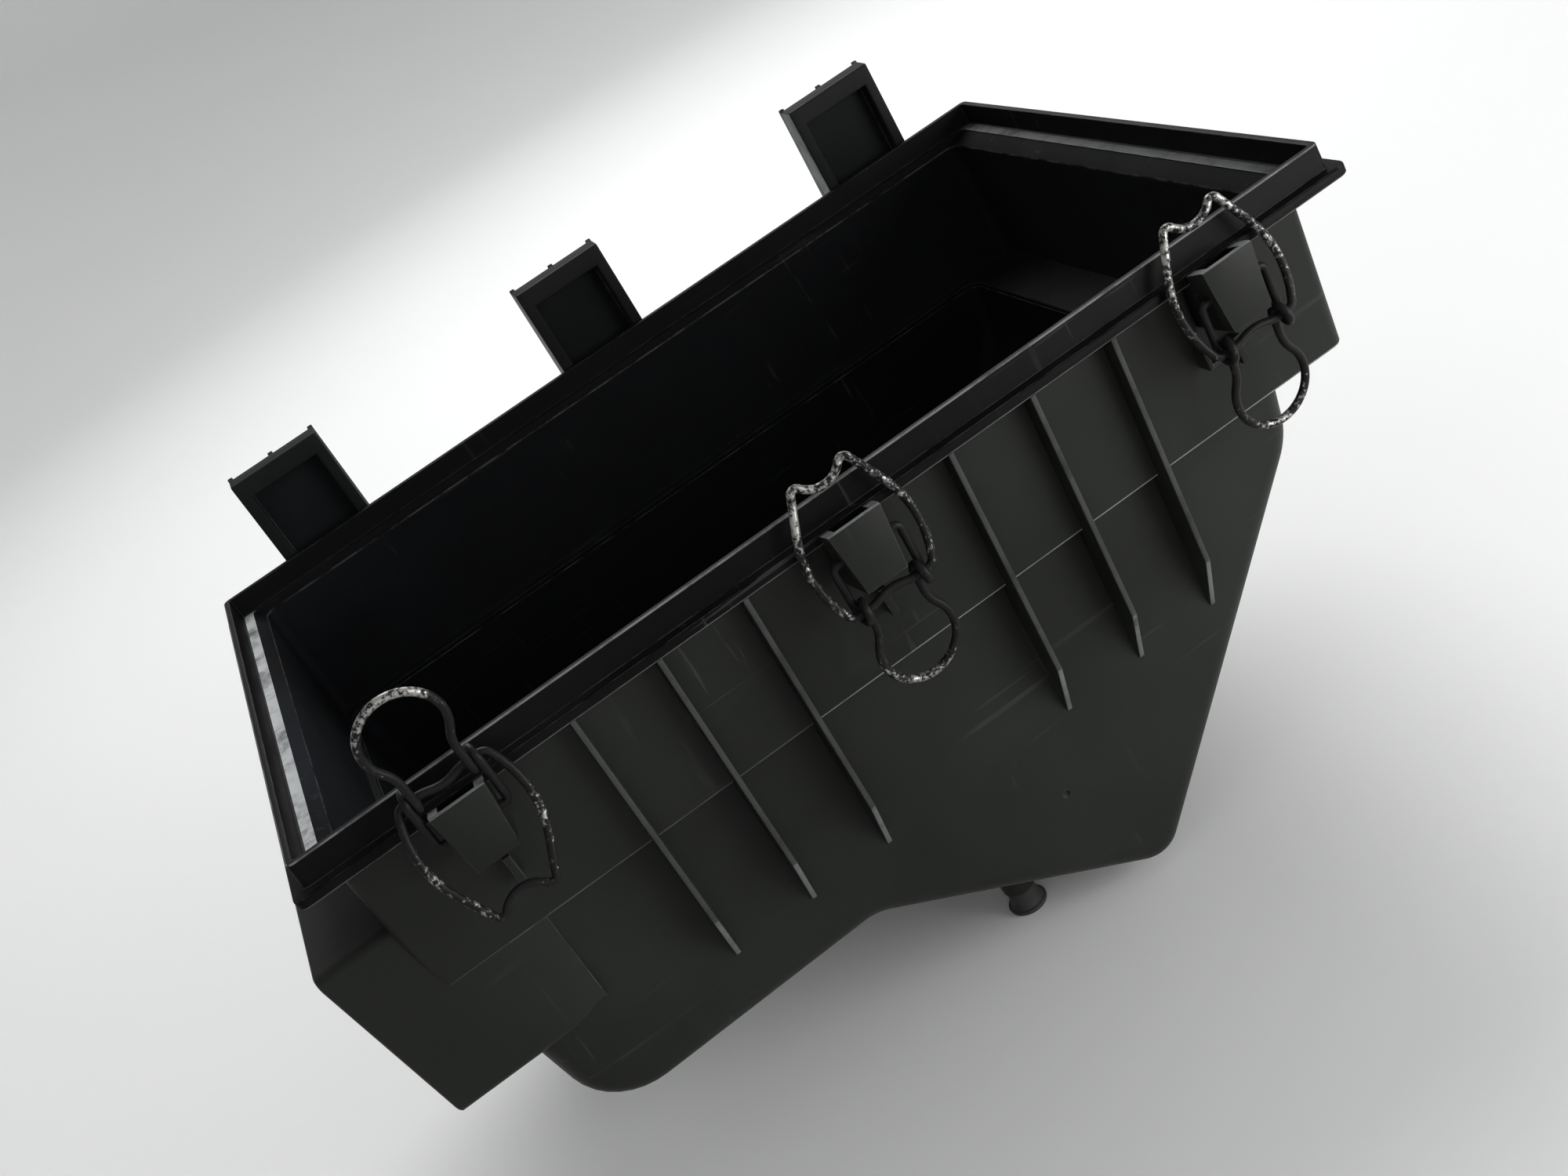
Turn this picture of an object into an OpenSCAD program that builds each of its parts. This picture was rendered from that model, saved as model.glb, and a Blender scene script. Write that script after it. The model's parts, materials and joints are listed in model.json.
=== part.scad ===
// Base half of an air filter housing: an open moulded box with a hopper below it,
// an inlet snout, sockets for the lid's hinge tongues and three wire toggle latches.
// Everything is drawn about the centre of the mouth with the lip's top edge at zero
// height, then set down by place() so that the origin is under the middle of the box
// on the surface that the rubber feet stand on.

/* [Mouth] */
// Length of the lip, outside
mouth_l = 420; // [400:1:440]
// Width of the lip, outside
mouth_w = 280; // [270:1:290]
// Height of the lip above the flange
lip_h = 10; // [8:0.5:12]
// Thickness of the lip
lip_t = 3; // [2:0.5:3]
// Thickness of the flange round the mouth
flange_t = 4; // [3:0.5:5]
// How far the flange stands out past the lip
flange_out = 4.5; // [3:0.5:5]

/* [Body] */
// Wall thickness of the moulding
wall = 2.5; // [2:0.1:3]
// Depth from the lip to the step between box and hopper
step_depth = 75; // [70:1:80]
// Distance from the lip's top to the tips of the feet
stand_h = 238; // [236:1:246]
// How far the box's long walls stand in from the lip at the top
side_inset = 3; // [3:0.5:4]
// How far they lean in by the step
side_draft = 6; // [4:0.5:8]
// Thickness of a front rib
rib_t = 2.4; // [1.6:0.2:3]

/* [Inlet] */
// Size of the snout from front to back
snout_w = 100; // [80:1:110]
// Height of the snout
snout_h = 76; // [70:1:78]
// How far the snout stands out past the box's end wall
snout_out = 29.5; // [20:0.5:35]
// How far the snout's open end leans in towards its foot
snout_lean = 9.4; // [0:0.2:12]

/* [Hinge sockets] */
// Spacing of the hinge sockets and of the latches along the mouth
pitch = 154; // [150:1:158]
// Width of a hinge socket
socket_w = 45; // [40:1:48]
// Height of a hinge socket above the lip
socket_h = 40.7; // [36:0.1:46]

/* [Latches] */
// Diameter of the latch wire
wire_d = 3; // [2.8:0.1:3.2]
// Distance from the lever's pivot to its eyelets
eye_reach = 18.5; // [18.5:0.5:20]
// Distance from the lever's pivot to the foot of its bulb
lever_reach = 56.5; // [55:0.5:56.5]
// Radius of the bulb at the middle of the wire
bulb_r = 14.5; // [14:0.25:15]
// Angle that a closed lever leans in towards the wall
closed_lean = 4; // [2:1:8]
// Angle that the closed bail leans in towards the lip
bail_lean = 12; // [8:0.5:13]
// Swing of a lever from closed to thrown open
throw = 176; // [170:1:178]

/* [Feet] */
// Diameter of a rubber foot at its base
foot_d = 17; // [15:0.5:20]
// Height of a rubber foot
foot_h = 10; // [9:0.5:12]
// Diameter of the peg that a rubber foot is pushed on
peg_d = 6; // [5:0.5:7]

/* [Hidden] */
$fn = 48;

plastic = [0.12, 0.13, 0.13];
rim_plastic = [0.15, 0.13, 0.13];
steel = [0.45, 0.44, 0.42];
rubber = [0.05, 0.05, 0.05];

eps = 0.01;
cut = 1;

// Box: end walls are upright and stand in from the lip, long walls lean in
left_inset = 10.5;
right_inset = 14;
box_x0 = -mouth_l / 2 + left_inset;
box_x1 = mouth_l / 2 - right_inset;
box_top = -(lip_h + flange_t);
box_low = -step_depth;
box_y_top = mouth_w / 2 - side_inset;
box_y_low = box_y_top - side_draft;

// Hopper: outline seen from the front as [x, z, corner radius], walls lean in with depth
hopper_inset = 5;
hopper_y_top = box_y_low - hopper_inset;
hopper_lean = 0.086;
hopper_deep = 237;
hopper_corners = [
  [-196, -step_depth, 0], [-182.5, -171, 28], [-60, -168, 20],
  [52.7, -235.8, 14], [167, -100, 30], [170, -step_depth, 0]
];

// Inlet snout, whose front wall runs on as a pad over the corner of the hopper
snout_x0 = box_x0 - snout_out;
snout_top = -44;
snout_inset = 9;
snout_front = -mouth_w / 2 + snout_inset;
snout_tuck = 12;
snout_low = snout_top - snout_h;
pad_end = -162;
pad_sink = 8;
passage_l = 35;

// Ribs on the front wall, at these distances to both sides of the middle. Their outer
// edge runs from the flange's edge to the knee and on to the foot, which are measured
// inwards from the wall's top, as is the root that the walls are cut from.
rib_x = [42, 76.3, 110.5];
rib_knee_z = -114.5;
rib_knee_in = 2.5;
rib_foot_z = -141;
rib_foot_in = 17;
rib_root_in = 22;

// Hinge sockets, measured outwards from the lip
socket_gap = 3;
socket_t = 12;
socket_side = 5.5;
socket_rail = 9;
socket_floor = 4;
socket_rib_out = 20;
socket_rib_rise = 1.5;

// Latch boss and lever pivot
boss_w = 21;
boss_top = -8;
boss_low = -33;
boss_out = 16;
boss_front = -mouth_w / 2 - boss_out;
cheek_t = 3.5;
cheek_drop = 2;
flange_gap = 0.5;
plate_t = 2.5;
tab_t = 3;
tab_top = -43;
tab_low = -54;
pivot_out = 11;
pivot_y = -mouth_w / 2 - pivot_out;
pivot_z = -20;
pin_gap = 0.08;
wire_r = wire_d / 2;

// Lever: the flanks of the bulb turn back through flare_a to the parallel waist
flare_a = 32;
flare_r = 14;
waist_x = bulb_r * cos(flare_a) - flare_r * (1 - cos(flare_a));
waist_v = lever_reach - bulb_r - (bulb_r + flare_r) * sin(flare_a);
coil_r = 3.6;
coil_shift = 3.2;
link_bend = 2.2;
link_lap = 0.51;
pin_end_x = 6;

// Wire is drawn with flat sides that lie just inside its true round
wire_sides = 12;
skin_r = wire_r - 0.01;
facet_a = 12;
coil_steps = 20;

// Bail: half outline as lines and arcs, from the middle of its axle to that of its bar
axle_dip = 18;
axle_r = 16;
axle_end = 14;
elbow_r = 3.5;
elbow_a = 65;
bow_r = 38;
bow_a = 50;
shank = 13.4;
horn_r = 2.2;
bar_a = 50;
bar_x = axle_end + elbow_r * sin(elbow_a) + shank * cos(elbow_a + bow_a)
  + horn_r * (sin(180 + bar_a) - sin(elbow_a + bow_a));
bar_r = bar_x / sin(bar_a);

// Feet, under the hopper
foot_front = [-1, -73.5];
foot_back_left = [-150, 80];
foot_back_right = [95, 80];
peg_len = 7;
post_top = -155;
post_root_r = 11;
post_tip_r = 7;
neck_h = 4;
neck_ratio = 0.74;
peg_room = 1;
peg_fit = 0.05;

// Reach of the whole part on each side, which sets where the origin lies: the latch
// wires stand wires_out past the lip at the front
wires_out = 24.5;
reach_left = -snout_x0;
reach_right = mouth_l / 2 + flange_out;
reach_back = mouth_w / 2 + socket_rib_out;
reach_front = mouth_w / 2 + wires_out;

// ---- helpers ----

module place() {
  translate([(reach_left - reach_right) / 2, (reach_front - reach_back) / 2, stand_h]) children();
}

module mirrored() {
  children();
  mirror([1, 0, 0]) children();
}

// Solid between x0 and x1 with the given outline across, as [y, z] points
module along_x(x0, x1, outline) {
  translate([x0, 0, 0]) rotate([90, 0, 90]) linear_extrude(x1 - x0) polygon(outline);
}

// Solid between y0 and y1 with the given outline seen from the front, as [x, z] points
module along_y(y0, y1, outline) {
  translate([0, y1, 0]) rotate([90, 0, 0]) linear_extrude(y1 - y0) polygon(outline);
}

module slab(lo, hi) {
  translate(lo) cube(hi - lo);
}

function unit(v) = v / norm(v);
function flat(c) = [c[0], c[1]];

// Arc of n steps that rounds corner q between its neighbours p and s
function corner_arc(p, q, s, r, n = 6) =
  let (a = unit(p - q), b = unit(s - q), half = acos(a * b) / 2,
       centre = q + unit(a + b) * r / sin(half), t0 = q + a * r / tan(half),
       t1 = q + b * r / tan(half))
  [for (i = [0:n]) let (m = t0 + (t1 - t0) * i / n) centre + unit(m - centre) * r];

function rounded(c) = [
  for (i = [0:len(c) - 1])
    let (p = flat(c[(i + len(c) - 1) % len(c)]), q = flat(c[i]), s = flat(c[(i + 1) % len(c)]))
    each c[i][2] > 0 ? corner_arc(p, q, s, c[i][2]) : [q]
];

// Left-hand normal of the side from p to q, which points into a ring drawn anticlockwise
function inward(p, q) = let (d = unit(q - p)) [-d[1], d[0]];
function inset(ring, t) = [
  for (i = [0:len(ring) - 1])
    let (p = ring[(i + len(ring) - 1) % len(ring)], q = ring[i], s = ring[(i + 1) % len(ring)],
         m = inward(p, q), n = inward(q, s))
    q + (m + n) * t / (1 + m * n)
];

// Points of a flat wire's middle line, after the start p and heading a degrees from +X.
// A step is [length] or [radius, angle], where a positive angle turns left.
function trail(steps, p = [0, 0], a = 0, i = 0) =
  i == len(steps) ? []
  : len(steps[i]) == 1
    ? let (q = p + steps[i][0] * [cos(a), sin(a)]) concat([q], trail(steps, q, a, i + 1))
    : let (r = steps[i][0], turn = steps[i][1], side = sign(turn),
           n = ceil(abs(turn) / facet_a), centre = p + side * r * [-sin(a), cos(a)],
           arc = [for (k = [1:n]) let (b = a + turn * k / n) centre + side * r * [sin(b), -cos(b)]])
      concat(arc, trail(steps, arc[n - 1], a + turn, i + 1));

// Flat points stood up in the XZ plane
function upright(points) = [for (q = points) [q[0], 0, q[1]]];

// Points round the wire at p, across the sides u and v
function ring_points(p, u, v) = [
  for (k = [0:wire_sides - 1]) let (b = 360 * k / wire_sides)
    p + skin_r * (u * cos(b) + v * sin(b))
];

function first_side(t) = unit(cross(t, abs(t[2]) < 0.9 ? [0, 0, 1] : [1, 0, 0]));

// Tube of wire along a line of 3D points, with its seam carried along without twist
module wire(line) {
  n = len(line) - 1;
  aim = [for (i = [0:n]) unit(line[min(i + 1, n)] - line[max(i - 1, 0)])];
  function carry(i) = i == 0 ? first_side(aim[0])
    : let (s = carry(i - 1)) unit(s - (s * aim[i]) * aim[i]);
  rings = [
    for (i = [0:n]) let (u = carry(i), v = cross(aim[i], u)) each ring_points(line[i], u, v)
  ];
  polyhedron(rings, concat(
    [[for (k = [wire_sides - 1:-1:0]) n * wire_sides + k]], [[for (k = [0:wire_sides - 1]) k]],
    [for (i = [0:n - 1]) for (k = [0:wire_sides - 1]) let (m = (k + 1) % wire_sides)
      each [[i * wire_sides + k, (i + 1) * wire_sides + k, (i + 1) * wire_sides + m],
            [i * wire_sides + k, (i + 1) * wire_sides + m, i * wire_sides + m]]]
  ));
}

// The same round a closed flat loop in the XZ plane
module wire_loop(line) {
  n = len(line);
  u = [0, 1, 0];
  rings = [
    for (i = [0:n - 1]) let (aim = unit(line[(i + 1) % n] - line[(i + n - 1) % n]))
      each ring_points(line[i], u, cross(aim, u))
  ];
  polyhedron(rings, [for (i = [0:n - 1]) for (k = [0:wire_sides - 1])
    let (m = (k + 1) % wire_sides, j = (i + 1) % n)
      each [[i * wire_sides + k, j * wire_sides + k, j * wire_sides + m],
            [i * wire_sides + k, j * wire_sides + m, i * wire_sides + m]]]);
}

// ---- outer solids that several nodes are cut to ----

module box_outer() {
  along_x(box_x0, box_x1, [
    [-box_y_low, box_low], [box_y_low, box_low], [box_y_top, box_top], [-box_y_top, box_top]
  ]);
}

module hopper_solid(t) {
  y_top = hopper_y_top - t;
  y_low = y_top - hopper_lean * (hopper_deep - step_depth);
  intersection() {
    along_y(-mouth_w, mouth_w, inset(rounded(hopper_corners), t));
    along_x(-mouth_l, mouth_l, [
      [-y_low, -hopper_deep], [y_low, -hopper_deep], [y_top, box_low], [-y_top, box_low]
    ]);
  }
}

module snout_passage() {
  slab([box_x0 - cut, snout_front + wall, snout_low + wall],
       [box_x0 - cut + passage_l, snout_front + snout_w - wall, snout_top - wall]);
}

// ---- moulding ----

module mouth_rim() {
  l = mouth_l / 2;
  w = mouth_w / 2;
  color(rim_plastic) place() {
    difference() {
      slab([-l - flange_out, -w - flange_out, box_top], [l + flange_out, w + flange_out, -lip_h]);
      slab([box_x0 + wall, -box_y_top + wall, box_top - cut], [box_x1 - wall, box_y_top - wall, 0]);
    }
    difference() {
      slab([-l, -w, -lip_h], [l, w, 0]);
      slab([-l + lip_t, -w + lip_t, -lip_h - cut], [l - lip_t, w - lip_t, cut]);
    }
  }
}

module box_walls() {
  color(plastic) place() difference() {
    box_outer();
    along_x(box_x0 + wall, box_x1 - wall, [
      [-box_y_low + wall, box_low + wall], [box_y_low - wall, box_low + wall],
      [box_y_top - wall, box_top + eps], [-box_y_top + wall, box_top + eps]
    ]);
    slab([hopper_corners[0][0] + wall, -hopper_y_top + wall, box_low - cut],
         [hopper_corners[5][0] - wall, hopper_y_top - wall, box_low + wall + cut]);
    snout_passage();
  }
}

module hopper() {
  color(plastic) place() difference() {
    hopper_solid(0);
    intersection() {
      hopper_solid(wall);
      slab([-mouth_l, -mouth_w, -hopper_deep], [mouth_l, mouth_w, box_low - wall + eps]);
    }
    slab([hopper_corners[0][0] + wall, -hopper_y_top + wall, box_low - wall - eps],
         [hopper_corners[5][0] - wall, hopper_y_top - wall, box_low + cut]);
    snout_passage();
  }
}

module inlet_snout() {
  color(plastic) place() difference() {
    union() {
      difference() {
        along_y(snout_front, snout_front + snout_w, [
          [snout_x0, snout_top], [snout_x0 + snout_lean, snout_low],
          [box_x0 + snout_tuck, snout_low], [box_x0 + snout_tuck, snout_top]
        ]);
        slab([snout_x0 - cut, snout_front + wall, snout_low + wall],
             [box_x0 + passage_l, snout_front + snout_w - wall, snout_top - wall]);
      }
      slab([box_x0, snout_front, snout_low], [pad_end, -hopper_y_top + pad_sink, box_low]);
    }
    box_outer();
    hopper_solid(0);
    snout_passage();
  }
}

module front_ribs() {
  color(plastic) place() difference() {
    mirrored() for (x = rib_x) along_x(x - rib_t / 2, x + rib_t / 2, [
      [-mouth_w / 2 - flange_out, box_top], [-box_y_top + rib_knee_in, rib_knee_z],
      [-box_y_top + rib_foot_in, rib_foot_z], [-box_y_top + rib_root_in, rib_foot_z],
      [-box_y_top + rib_root_in, box_top]
    ]);
    box_outer();
    hopper_solid(0);
  }
}

// ---- hinge sockets on the back flange ----

module hinge_socket(x) {
  front = mouth_w / 2 + socket_gap;
  back = front + socket_t;
  color(plastic) place() translate([x, 0, 0]) difference() {
    union() {
      slab([-socket_w / 2, front, -lip_h], [socket_w / 2, back, socket_h]);
      slab([-socket_w / 2, mouth_w / 2 + flange_out, box_top], [socket_w / 2, back, -lip_h]);
      for (u = [-1, 0, 1]) translate([u * (socket_w - rib_t) / 2, 0, 0])
        slab([-rib_t / 2, back - eps, box_top], [rib_t / 2, reach_back, socket_h + socket_rib_rise]);
    }
    slab([-socket_w / 2 + socket_side, front - cut, -lip_h],
         [socket_w / 2 - socket_side, back - socket_floor, socket_h - socket_rail]);
  }
}

// ---- latch bosses on the front wall ----

module latch_boss(x) {
  half = boss_w / 2;
  color(plastic) place() translate([x, 0, 0]) difference() {
    union() {
      slab([-half, boss_front, boss_low], [half, boss_front + plate_t, boss_top]);
      mirrored() {
        slab([half - cheek_t, boss_front, boss_low], [half, -box_y_low, box_top]);
        slab([half - cheek_t, boss_front, box_top - cut],
             [half, -mouth_w / 2 - flange_out - flange_gap, boss_top - cheek_drop]);
      }
      slab([-tab_t / 2, -mouth_w / 2, tab_low], [tab_t / 2, -box_y_low, tab_top]);
    }
    translate([-half - cut, pivot_y, pivot_z]) rotate([0, 90, 0])
      cylinder(h = boss_w + 2 * cut, r = wire_r + pin_gap);
    translate([-x, 0, 0]) box_outer();
  }
}

// ---- wire latches ----

// Moves its children, drawn about the pivot with the lever hanging down, to latch x
// with the lever swung outwards by the given angle
module on_pivot(x, swing) {
  place() translate([x, pivot_y, pivot_z]) rotate([-swing, 0, 0]) children();
}

// Right half of a lever's middle line, from the foot of the bulb up through one full
// turn about the eyelet to the bend where the pivot pin starts
function lever_half() = let (
  bulb = [[bulb_r, 90 + flare_a], [flare_r, -flare_a], [waist_v - eye_reach]],
  link = [[eye_reach - link_bend], [link_bend, 90], [link_lap]]
) concat(
  [[0, 0, -lever_reach]],
  upright(trail(bulb, [0, -lever_reach])),
  [for (k = [1:coil_steps]) let (b = 360 * k / coil_steps)
    [waist_x + coil_shift * k / coil_steps, coil_r * (cos(b) - 1), coil_r * sin(b) - eye_reach]],
  upright(trail(link, [waist_x + coil_shift, -eye_reach], 90))
);

module lever(x, swing) {
  half = lever_half();
  left = [for (i = [len(half) - 1:-1:1]) [-half[i][0], half[i][1], half[i][2]]];
  color(steel) on_pivot(x, swing) {
    wire(concat(left, half));
    mirrored() translate([pin_end_x, 0, 0]) rotate([0, 90, 0])
      cylinder(h = waist_x + coil_shift - link_bend - pin_end_x, r = wire_r);
  }
}

// Right half of a bail's middle line, from the middle of its axle to that of its bar
function bail_half() = let (
  rise = 2 * axle_r * (1 - cos(axle_dip)),
  side = [
    [axle_r, -axle_dip], [axle_r, axle_dip], [axle_end - 2 * axle_r * sin(axle_dip)],
    [elbow_r, elbow_a], [bow_r, bow_a], [shank],
    [horn_r, 180 + bar_a - elbow_a - bow_a], [bar_r, -bar_a]
  ]
) concat([[0, 0, rise]], upright(trail(side, [0, rise])));

// Bail in the eyelets of a lever swung by swing, and itself turned by turn from
// hanging, outwards and up
module bail(x, swing, turn) {
  half = bail_half();
  last = len(half) - 1;
  left = [for (i = [last - 1:-1:1]) [-half[i][0], half[i][1], half[i][2]]];
  color(steel) on_pivot(x, swing) translate([0, -coil_r, -eye_reach])
    rotate([180 - (turn - swing), 0, 0]) wire_loop(concat(half, left));
}

// ---- feet ----

module foot_post(p) {
  color(plastic) place() difference() {
    translate([p[0], p[1], -stand_h + foot_h]) {
      cylinder(h = stand_h - foot_h + post_top, r1 = post_tip_r, r2 = post_root_r);
      translate([0, 0, -peg_len]) cylinder(h = peg_len + cut, r = peg_d / 2);
    }
    hopper_solid(0);
  }
}

module rubber_foot(p) {
  color(rubber) place() translate([p[0], p[1], -stand_h]) difference() {
    union() {
      cylinder(h = foot_h - neck_h, r = foot_d / 2);
      cylinder(h = foot_h, r = neck_ratio * foot_d / 2);
    }
    translate([0, 0, foot_h - peg_len - peg_room])
      cylinder(h = peg_len + peg_room + cut, r = peg_d / 2 + peg_fit);
  }
}

mouth_rim();
box_walls();
hopper();
inlet_snout();
front_ribs();
hinge_socket(-pitch);  // hinge_socket_left
hinge_socket(0);  // hinge_socket_middle
hinge_socket(pitch);  // hinge_socket_right
latch_boss(-pitch);  // latch_boss_left
latch_boss(0);  // latch_boss_middle
latch_boss(pitch);  // latch_boss_right
lever(-pitch, throw - closed_lean);  // lever_left
lever(0, -closed_lean);  // lever_middle
lever(pitch, -closed_lean);  // lever_right
bail(-pitch, throw - closed_lean, 180 + bail_lean - throw);  // bail_left
bail(0, -closed_lean, 180 + bail_lean);  // bail_middle
bail(pitch, -closed_lean, 180 + bail_lean);  // bail_right
foot_post(foot_front);  // foot_post_front
foot_post(foot_back_left);  // foot_post_back_left
foot_post(foot_back_right);  // foot_post_back_right
rubber_foot(foot_front);  // rubber_foot_front
rubber_foot(foot_back_left);  // rubber_foot_back_left
rubber_foot(foot_back_right);  // rubber_foot_back_right
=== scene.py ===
"""Looks of an air filter housing base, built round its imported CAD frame.

Lengths inside the piece builders are millimetres about the middle of the mouth, with
the lip's top edge at zero height, and settle() turns them into metres in the frame.
"""

import json
from math import acos, atan2, cos, pi, radians, sin, tan

import bmesh
import bpy
from bpy.props import FloatProperty, FloatVectorProperty, PointerProperty
from mathutils import Matrix, Vector


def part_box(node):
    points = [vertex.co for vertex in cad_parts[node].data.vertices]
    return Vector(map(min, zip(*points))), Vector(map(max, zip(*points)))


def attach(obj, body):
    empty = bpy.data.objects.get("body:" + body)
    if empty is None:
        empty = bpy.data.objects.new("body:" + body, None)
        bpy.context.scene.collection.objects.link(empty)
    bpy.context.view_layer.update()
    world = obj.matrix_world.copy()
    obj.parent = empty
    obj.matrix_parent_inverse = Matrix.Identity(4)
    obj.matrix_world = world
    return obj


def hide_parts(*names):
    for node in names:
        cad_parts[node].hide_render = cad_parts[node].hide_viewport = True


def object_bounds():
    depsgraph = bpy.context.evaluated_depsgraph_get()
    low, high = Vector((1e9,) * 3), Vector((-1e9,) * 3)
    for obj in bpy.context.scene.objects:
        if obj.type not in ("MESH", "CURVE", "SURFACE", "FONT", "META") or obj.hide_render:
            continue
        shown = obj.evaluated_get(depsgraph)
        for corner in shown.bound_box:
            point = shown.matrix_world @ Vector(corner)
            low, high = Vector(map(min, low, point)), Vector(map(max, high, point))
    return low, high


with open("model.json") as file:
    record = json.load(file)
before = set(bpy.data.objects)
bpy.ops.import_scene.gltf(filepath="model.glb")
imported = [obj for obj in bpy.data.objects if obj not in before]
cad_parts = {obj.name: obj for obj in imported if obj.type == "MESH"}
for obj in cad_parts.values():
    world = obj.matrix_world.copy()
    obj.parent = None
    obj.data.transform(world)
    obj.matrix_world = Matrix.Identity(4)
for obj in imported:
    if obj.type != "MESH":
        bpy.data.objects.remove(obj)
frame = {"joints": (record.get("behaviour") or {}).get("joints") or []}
CAD_BOX = [list(corner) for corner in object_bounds()]

bl_info = {
    "name": "Air Filter Housing Base",
    "version": (1, 0, 0),
    "blender": (4, 5, 0),
    "location": "View3D > Sidebar > Filter Box",
    "description": "Builds the moulding, latches, feet and studio of a filter housing",
    "category": "Add Mesh",
}

MM = 0.001
SIDES = ("left", "middle", "right")
FEET = ("front", "back_left", "back_right")

rim_low, rim_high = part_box("mouth_rim")
MOUTH = Vector(((rim_low.x + rim_high.x) / 2, (rim_low.y + rim_high.y) / 2, rim_high.z))


def local_box(node):
    """Lowest and highest corner of a CAD node, in the builders' millimetres."""
    low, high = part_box(node)
    return (low - MOUTH) / MM, (high - MOUTH) / MM


def local_middle(node):
    """Middle of a CAD node's box, in the builders' millimetres."""
    low, high = local_box(node)
    return (low + high) / 2


BOX_LOW, BOX_HIGH = local_box("box_walls")
HOPPER_LOW, HOPPER_HIGH = local_box("hopper")
SNOUT_LOW, SNOUT_HIGH = local_box("inlet_snout")
RIM_LOW, RIM_HIGH = local_box("mouth_rim")
STEP_Z = BOX_LOW.z
FLANGE_LOW = RIM_LOW.z


# ---------------------------------------------------------------- settings


class FilterBoxSizes(bpy.types.PropertyGroup):
    """Sizes that the looks add to the frame's own."""

    wall: FloatProperty(
        name="Wall", description="Thickness of the moulding's walls",
        default=0.0025, min=0.0015, max=0.004, unit="LENGTH",
    )
    lip_height: FloatProperty(
        name="Lip height", description="Height of the lip above the flange",
        default=0.010, min=0.006, max=0.014, unit="LENGTH",
    )
    flange_overhang: FloatProperty(
        name="Flange overhang", description="How far the flange stands out past the lip",
        default=0.0045, min=0.002, max=0.008, unit="LENGTH",
    )
    lip_thickness: FloatProperty(
        name="Lip thickness", description="Thickness of the lip at its top",
        default=0.003, min=0.002, max=0.004, unit="LENGTH",
    )
    snout_lean: FloatProperty(
        name="Snout lean", description="How far the snout's open end leans in at its foot",
        default=0.0094, min=0.0, max=0.012, unit="LENGTH",
    )
    wire: FloatProperty(
        name="Wire", description="Diameter of the latch wire",
        default=0.003, min=0.002, max=0.004, unit="LENGTH",
    )


class FilterBoxColours(bpy.types.PropertyGroup):
    """Colours of the finishes."""

    plastic: FloatVectorProperty(
        name="Plastic", description="Moulded plastic of the walls", subtype="COLOR",
        size=3, default=(0.0100, 0.0112, 0.0092), min=0, max=1,
    )
    rim: FloatVectorProperty(
        name="Rim", description="Moulded plastic of the lip and flange", subtype="COLOR",
        size=3, default=(0.0027, 0.0022, 0.0023), min=0, max=1,
    )
    dust: FloatVectorProperty(
        name="Dust", description="Pale dust in the corners and on flat tops", subtype="COLOR",
        size=3, default=(0.055, 0.058, 0.054), min=0, max=1,
    )
    steel: FloatVectorProperty(
        name="Bare steel", description="Latch wire where it is rubbed bright", subtype="COLOR",
        size=3, default=(0.34, 0.335, 0.32), min=0, max=1,
    )
    black: FloatVectorProperty(
        name="Wire coating", description="Blackened coating of the latch wire", subtype="COLOR",
        size=3, default=(0.0050, 0.0052, 0.0052), min=0, max=1,
    )
    rust: FloatVectorProperty(
        name="Rust", description="Rust on the latch wire", subtype="COLOR",
        size=3, default=(0.085, 0.034, 0.016), min=0, max=1,
    )


def sizes():
    """The sizes in the scene's settings."""
    return bpy.context.scene.filter_box_sizes


def colours():
    """The colours in the scene's settings."""
    return bpy.context.scene.filter_box_colours


# ---------------------------------------------------------------- drawing


def rounded_rect(low, high, radius, at, axes="xyz", steps=5):
    """Points of a rectangle with round corners, in the plane of the first two axes."""
    order = ["xyz".index(a) for a in axes]
    points = []
    corners = [(high[0], high[1], 0), (low[0], high[1], 90), (low[0], low[1], 180), (high[0], low[1], 270)]
    for cx, cy, start in corners:
        inward_x = -1 if cx == high[0] else 1
        inward_y = -1 if cy == high[1] else 1
        for i in range(steps + 1):
            a = radians(start + 90 * i / steps)
            flat = (
                cx + inward_x * radius + radius * cos(a),
                cy + inward_y * radius + radius * sin(a),
                at,
            )
            point = [0, 0, 0]
            for axis, value in zip(order, flat):
                point[axis] = value
            points.append(Vector(point))
    return points


def add_loop(bm, points):
    """Closes a loop of new edges through the points; returns the edges."""
    verts = [bm.verts.new(p) for p in points]
    return [bm.edges.new((a, b)) for a, b in zip(verts, verts[1:] + verts[:1])]


def skin(bm, rings):
    """A closed skin drawn from ring to ring of points and back to the first."""
    edges = add_loop(bm, rings[0])
    for here, there in zip(rings, rings[1:] + rings[:1]):
        grown = bmesh.ops.extrude_edge_only(bm, edges=edges)["geom"]
        place = {p.to_tuple(4): q for p, q in zip(here, there)}
        for v in new_verts(grown):
            v.co = place[v.co.to_tuple(4)]
        edges = [e for e in grown if isinstance(e, bmesh.types.BMEdge)]
    bmesh.ops.remove_doubles(bm, verts=bm.verts, dist=0.0005)


def whole(bm):
    """All the geometry of a bmesh."""
    return bm.verts[:] + bm.edges[:] + bm.faces[:]


def new_verts(grown):
    """The vertices among what an extrusion grew."""
    return [g for g in grown if isinstance(g, bmesh.types.BMVert)]


def close_cuts(bm):
    """Caps what a plane has cut open, and turns the faces outwards."""
    bmesh.ops.holes_fill(bm, edges=[e for e in bm.edges if e.is_boundary], sides=0)
    bmesh.ops.recalc_face_normals(bm, faces=bm.faces)


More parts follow.
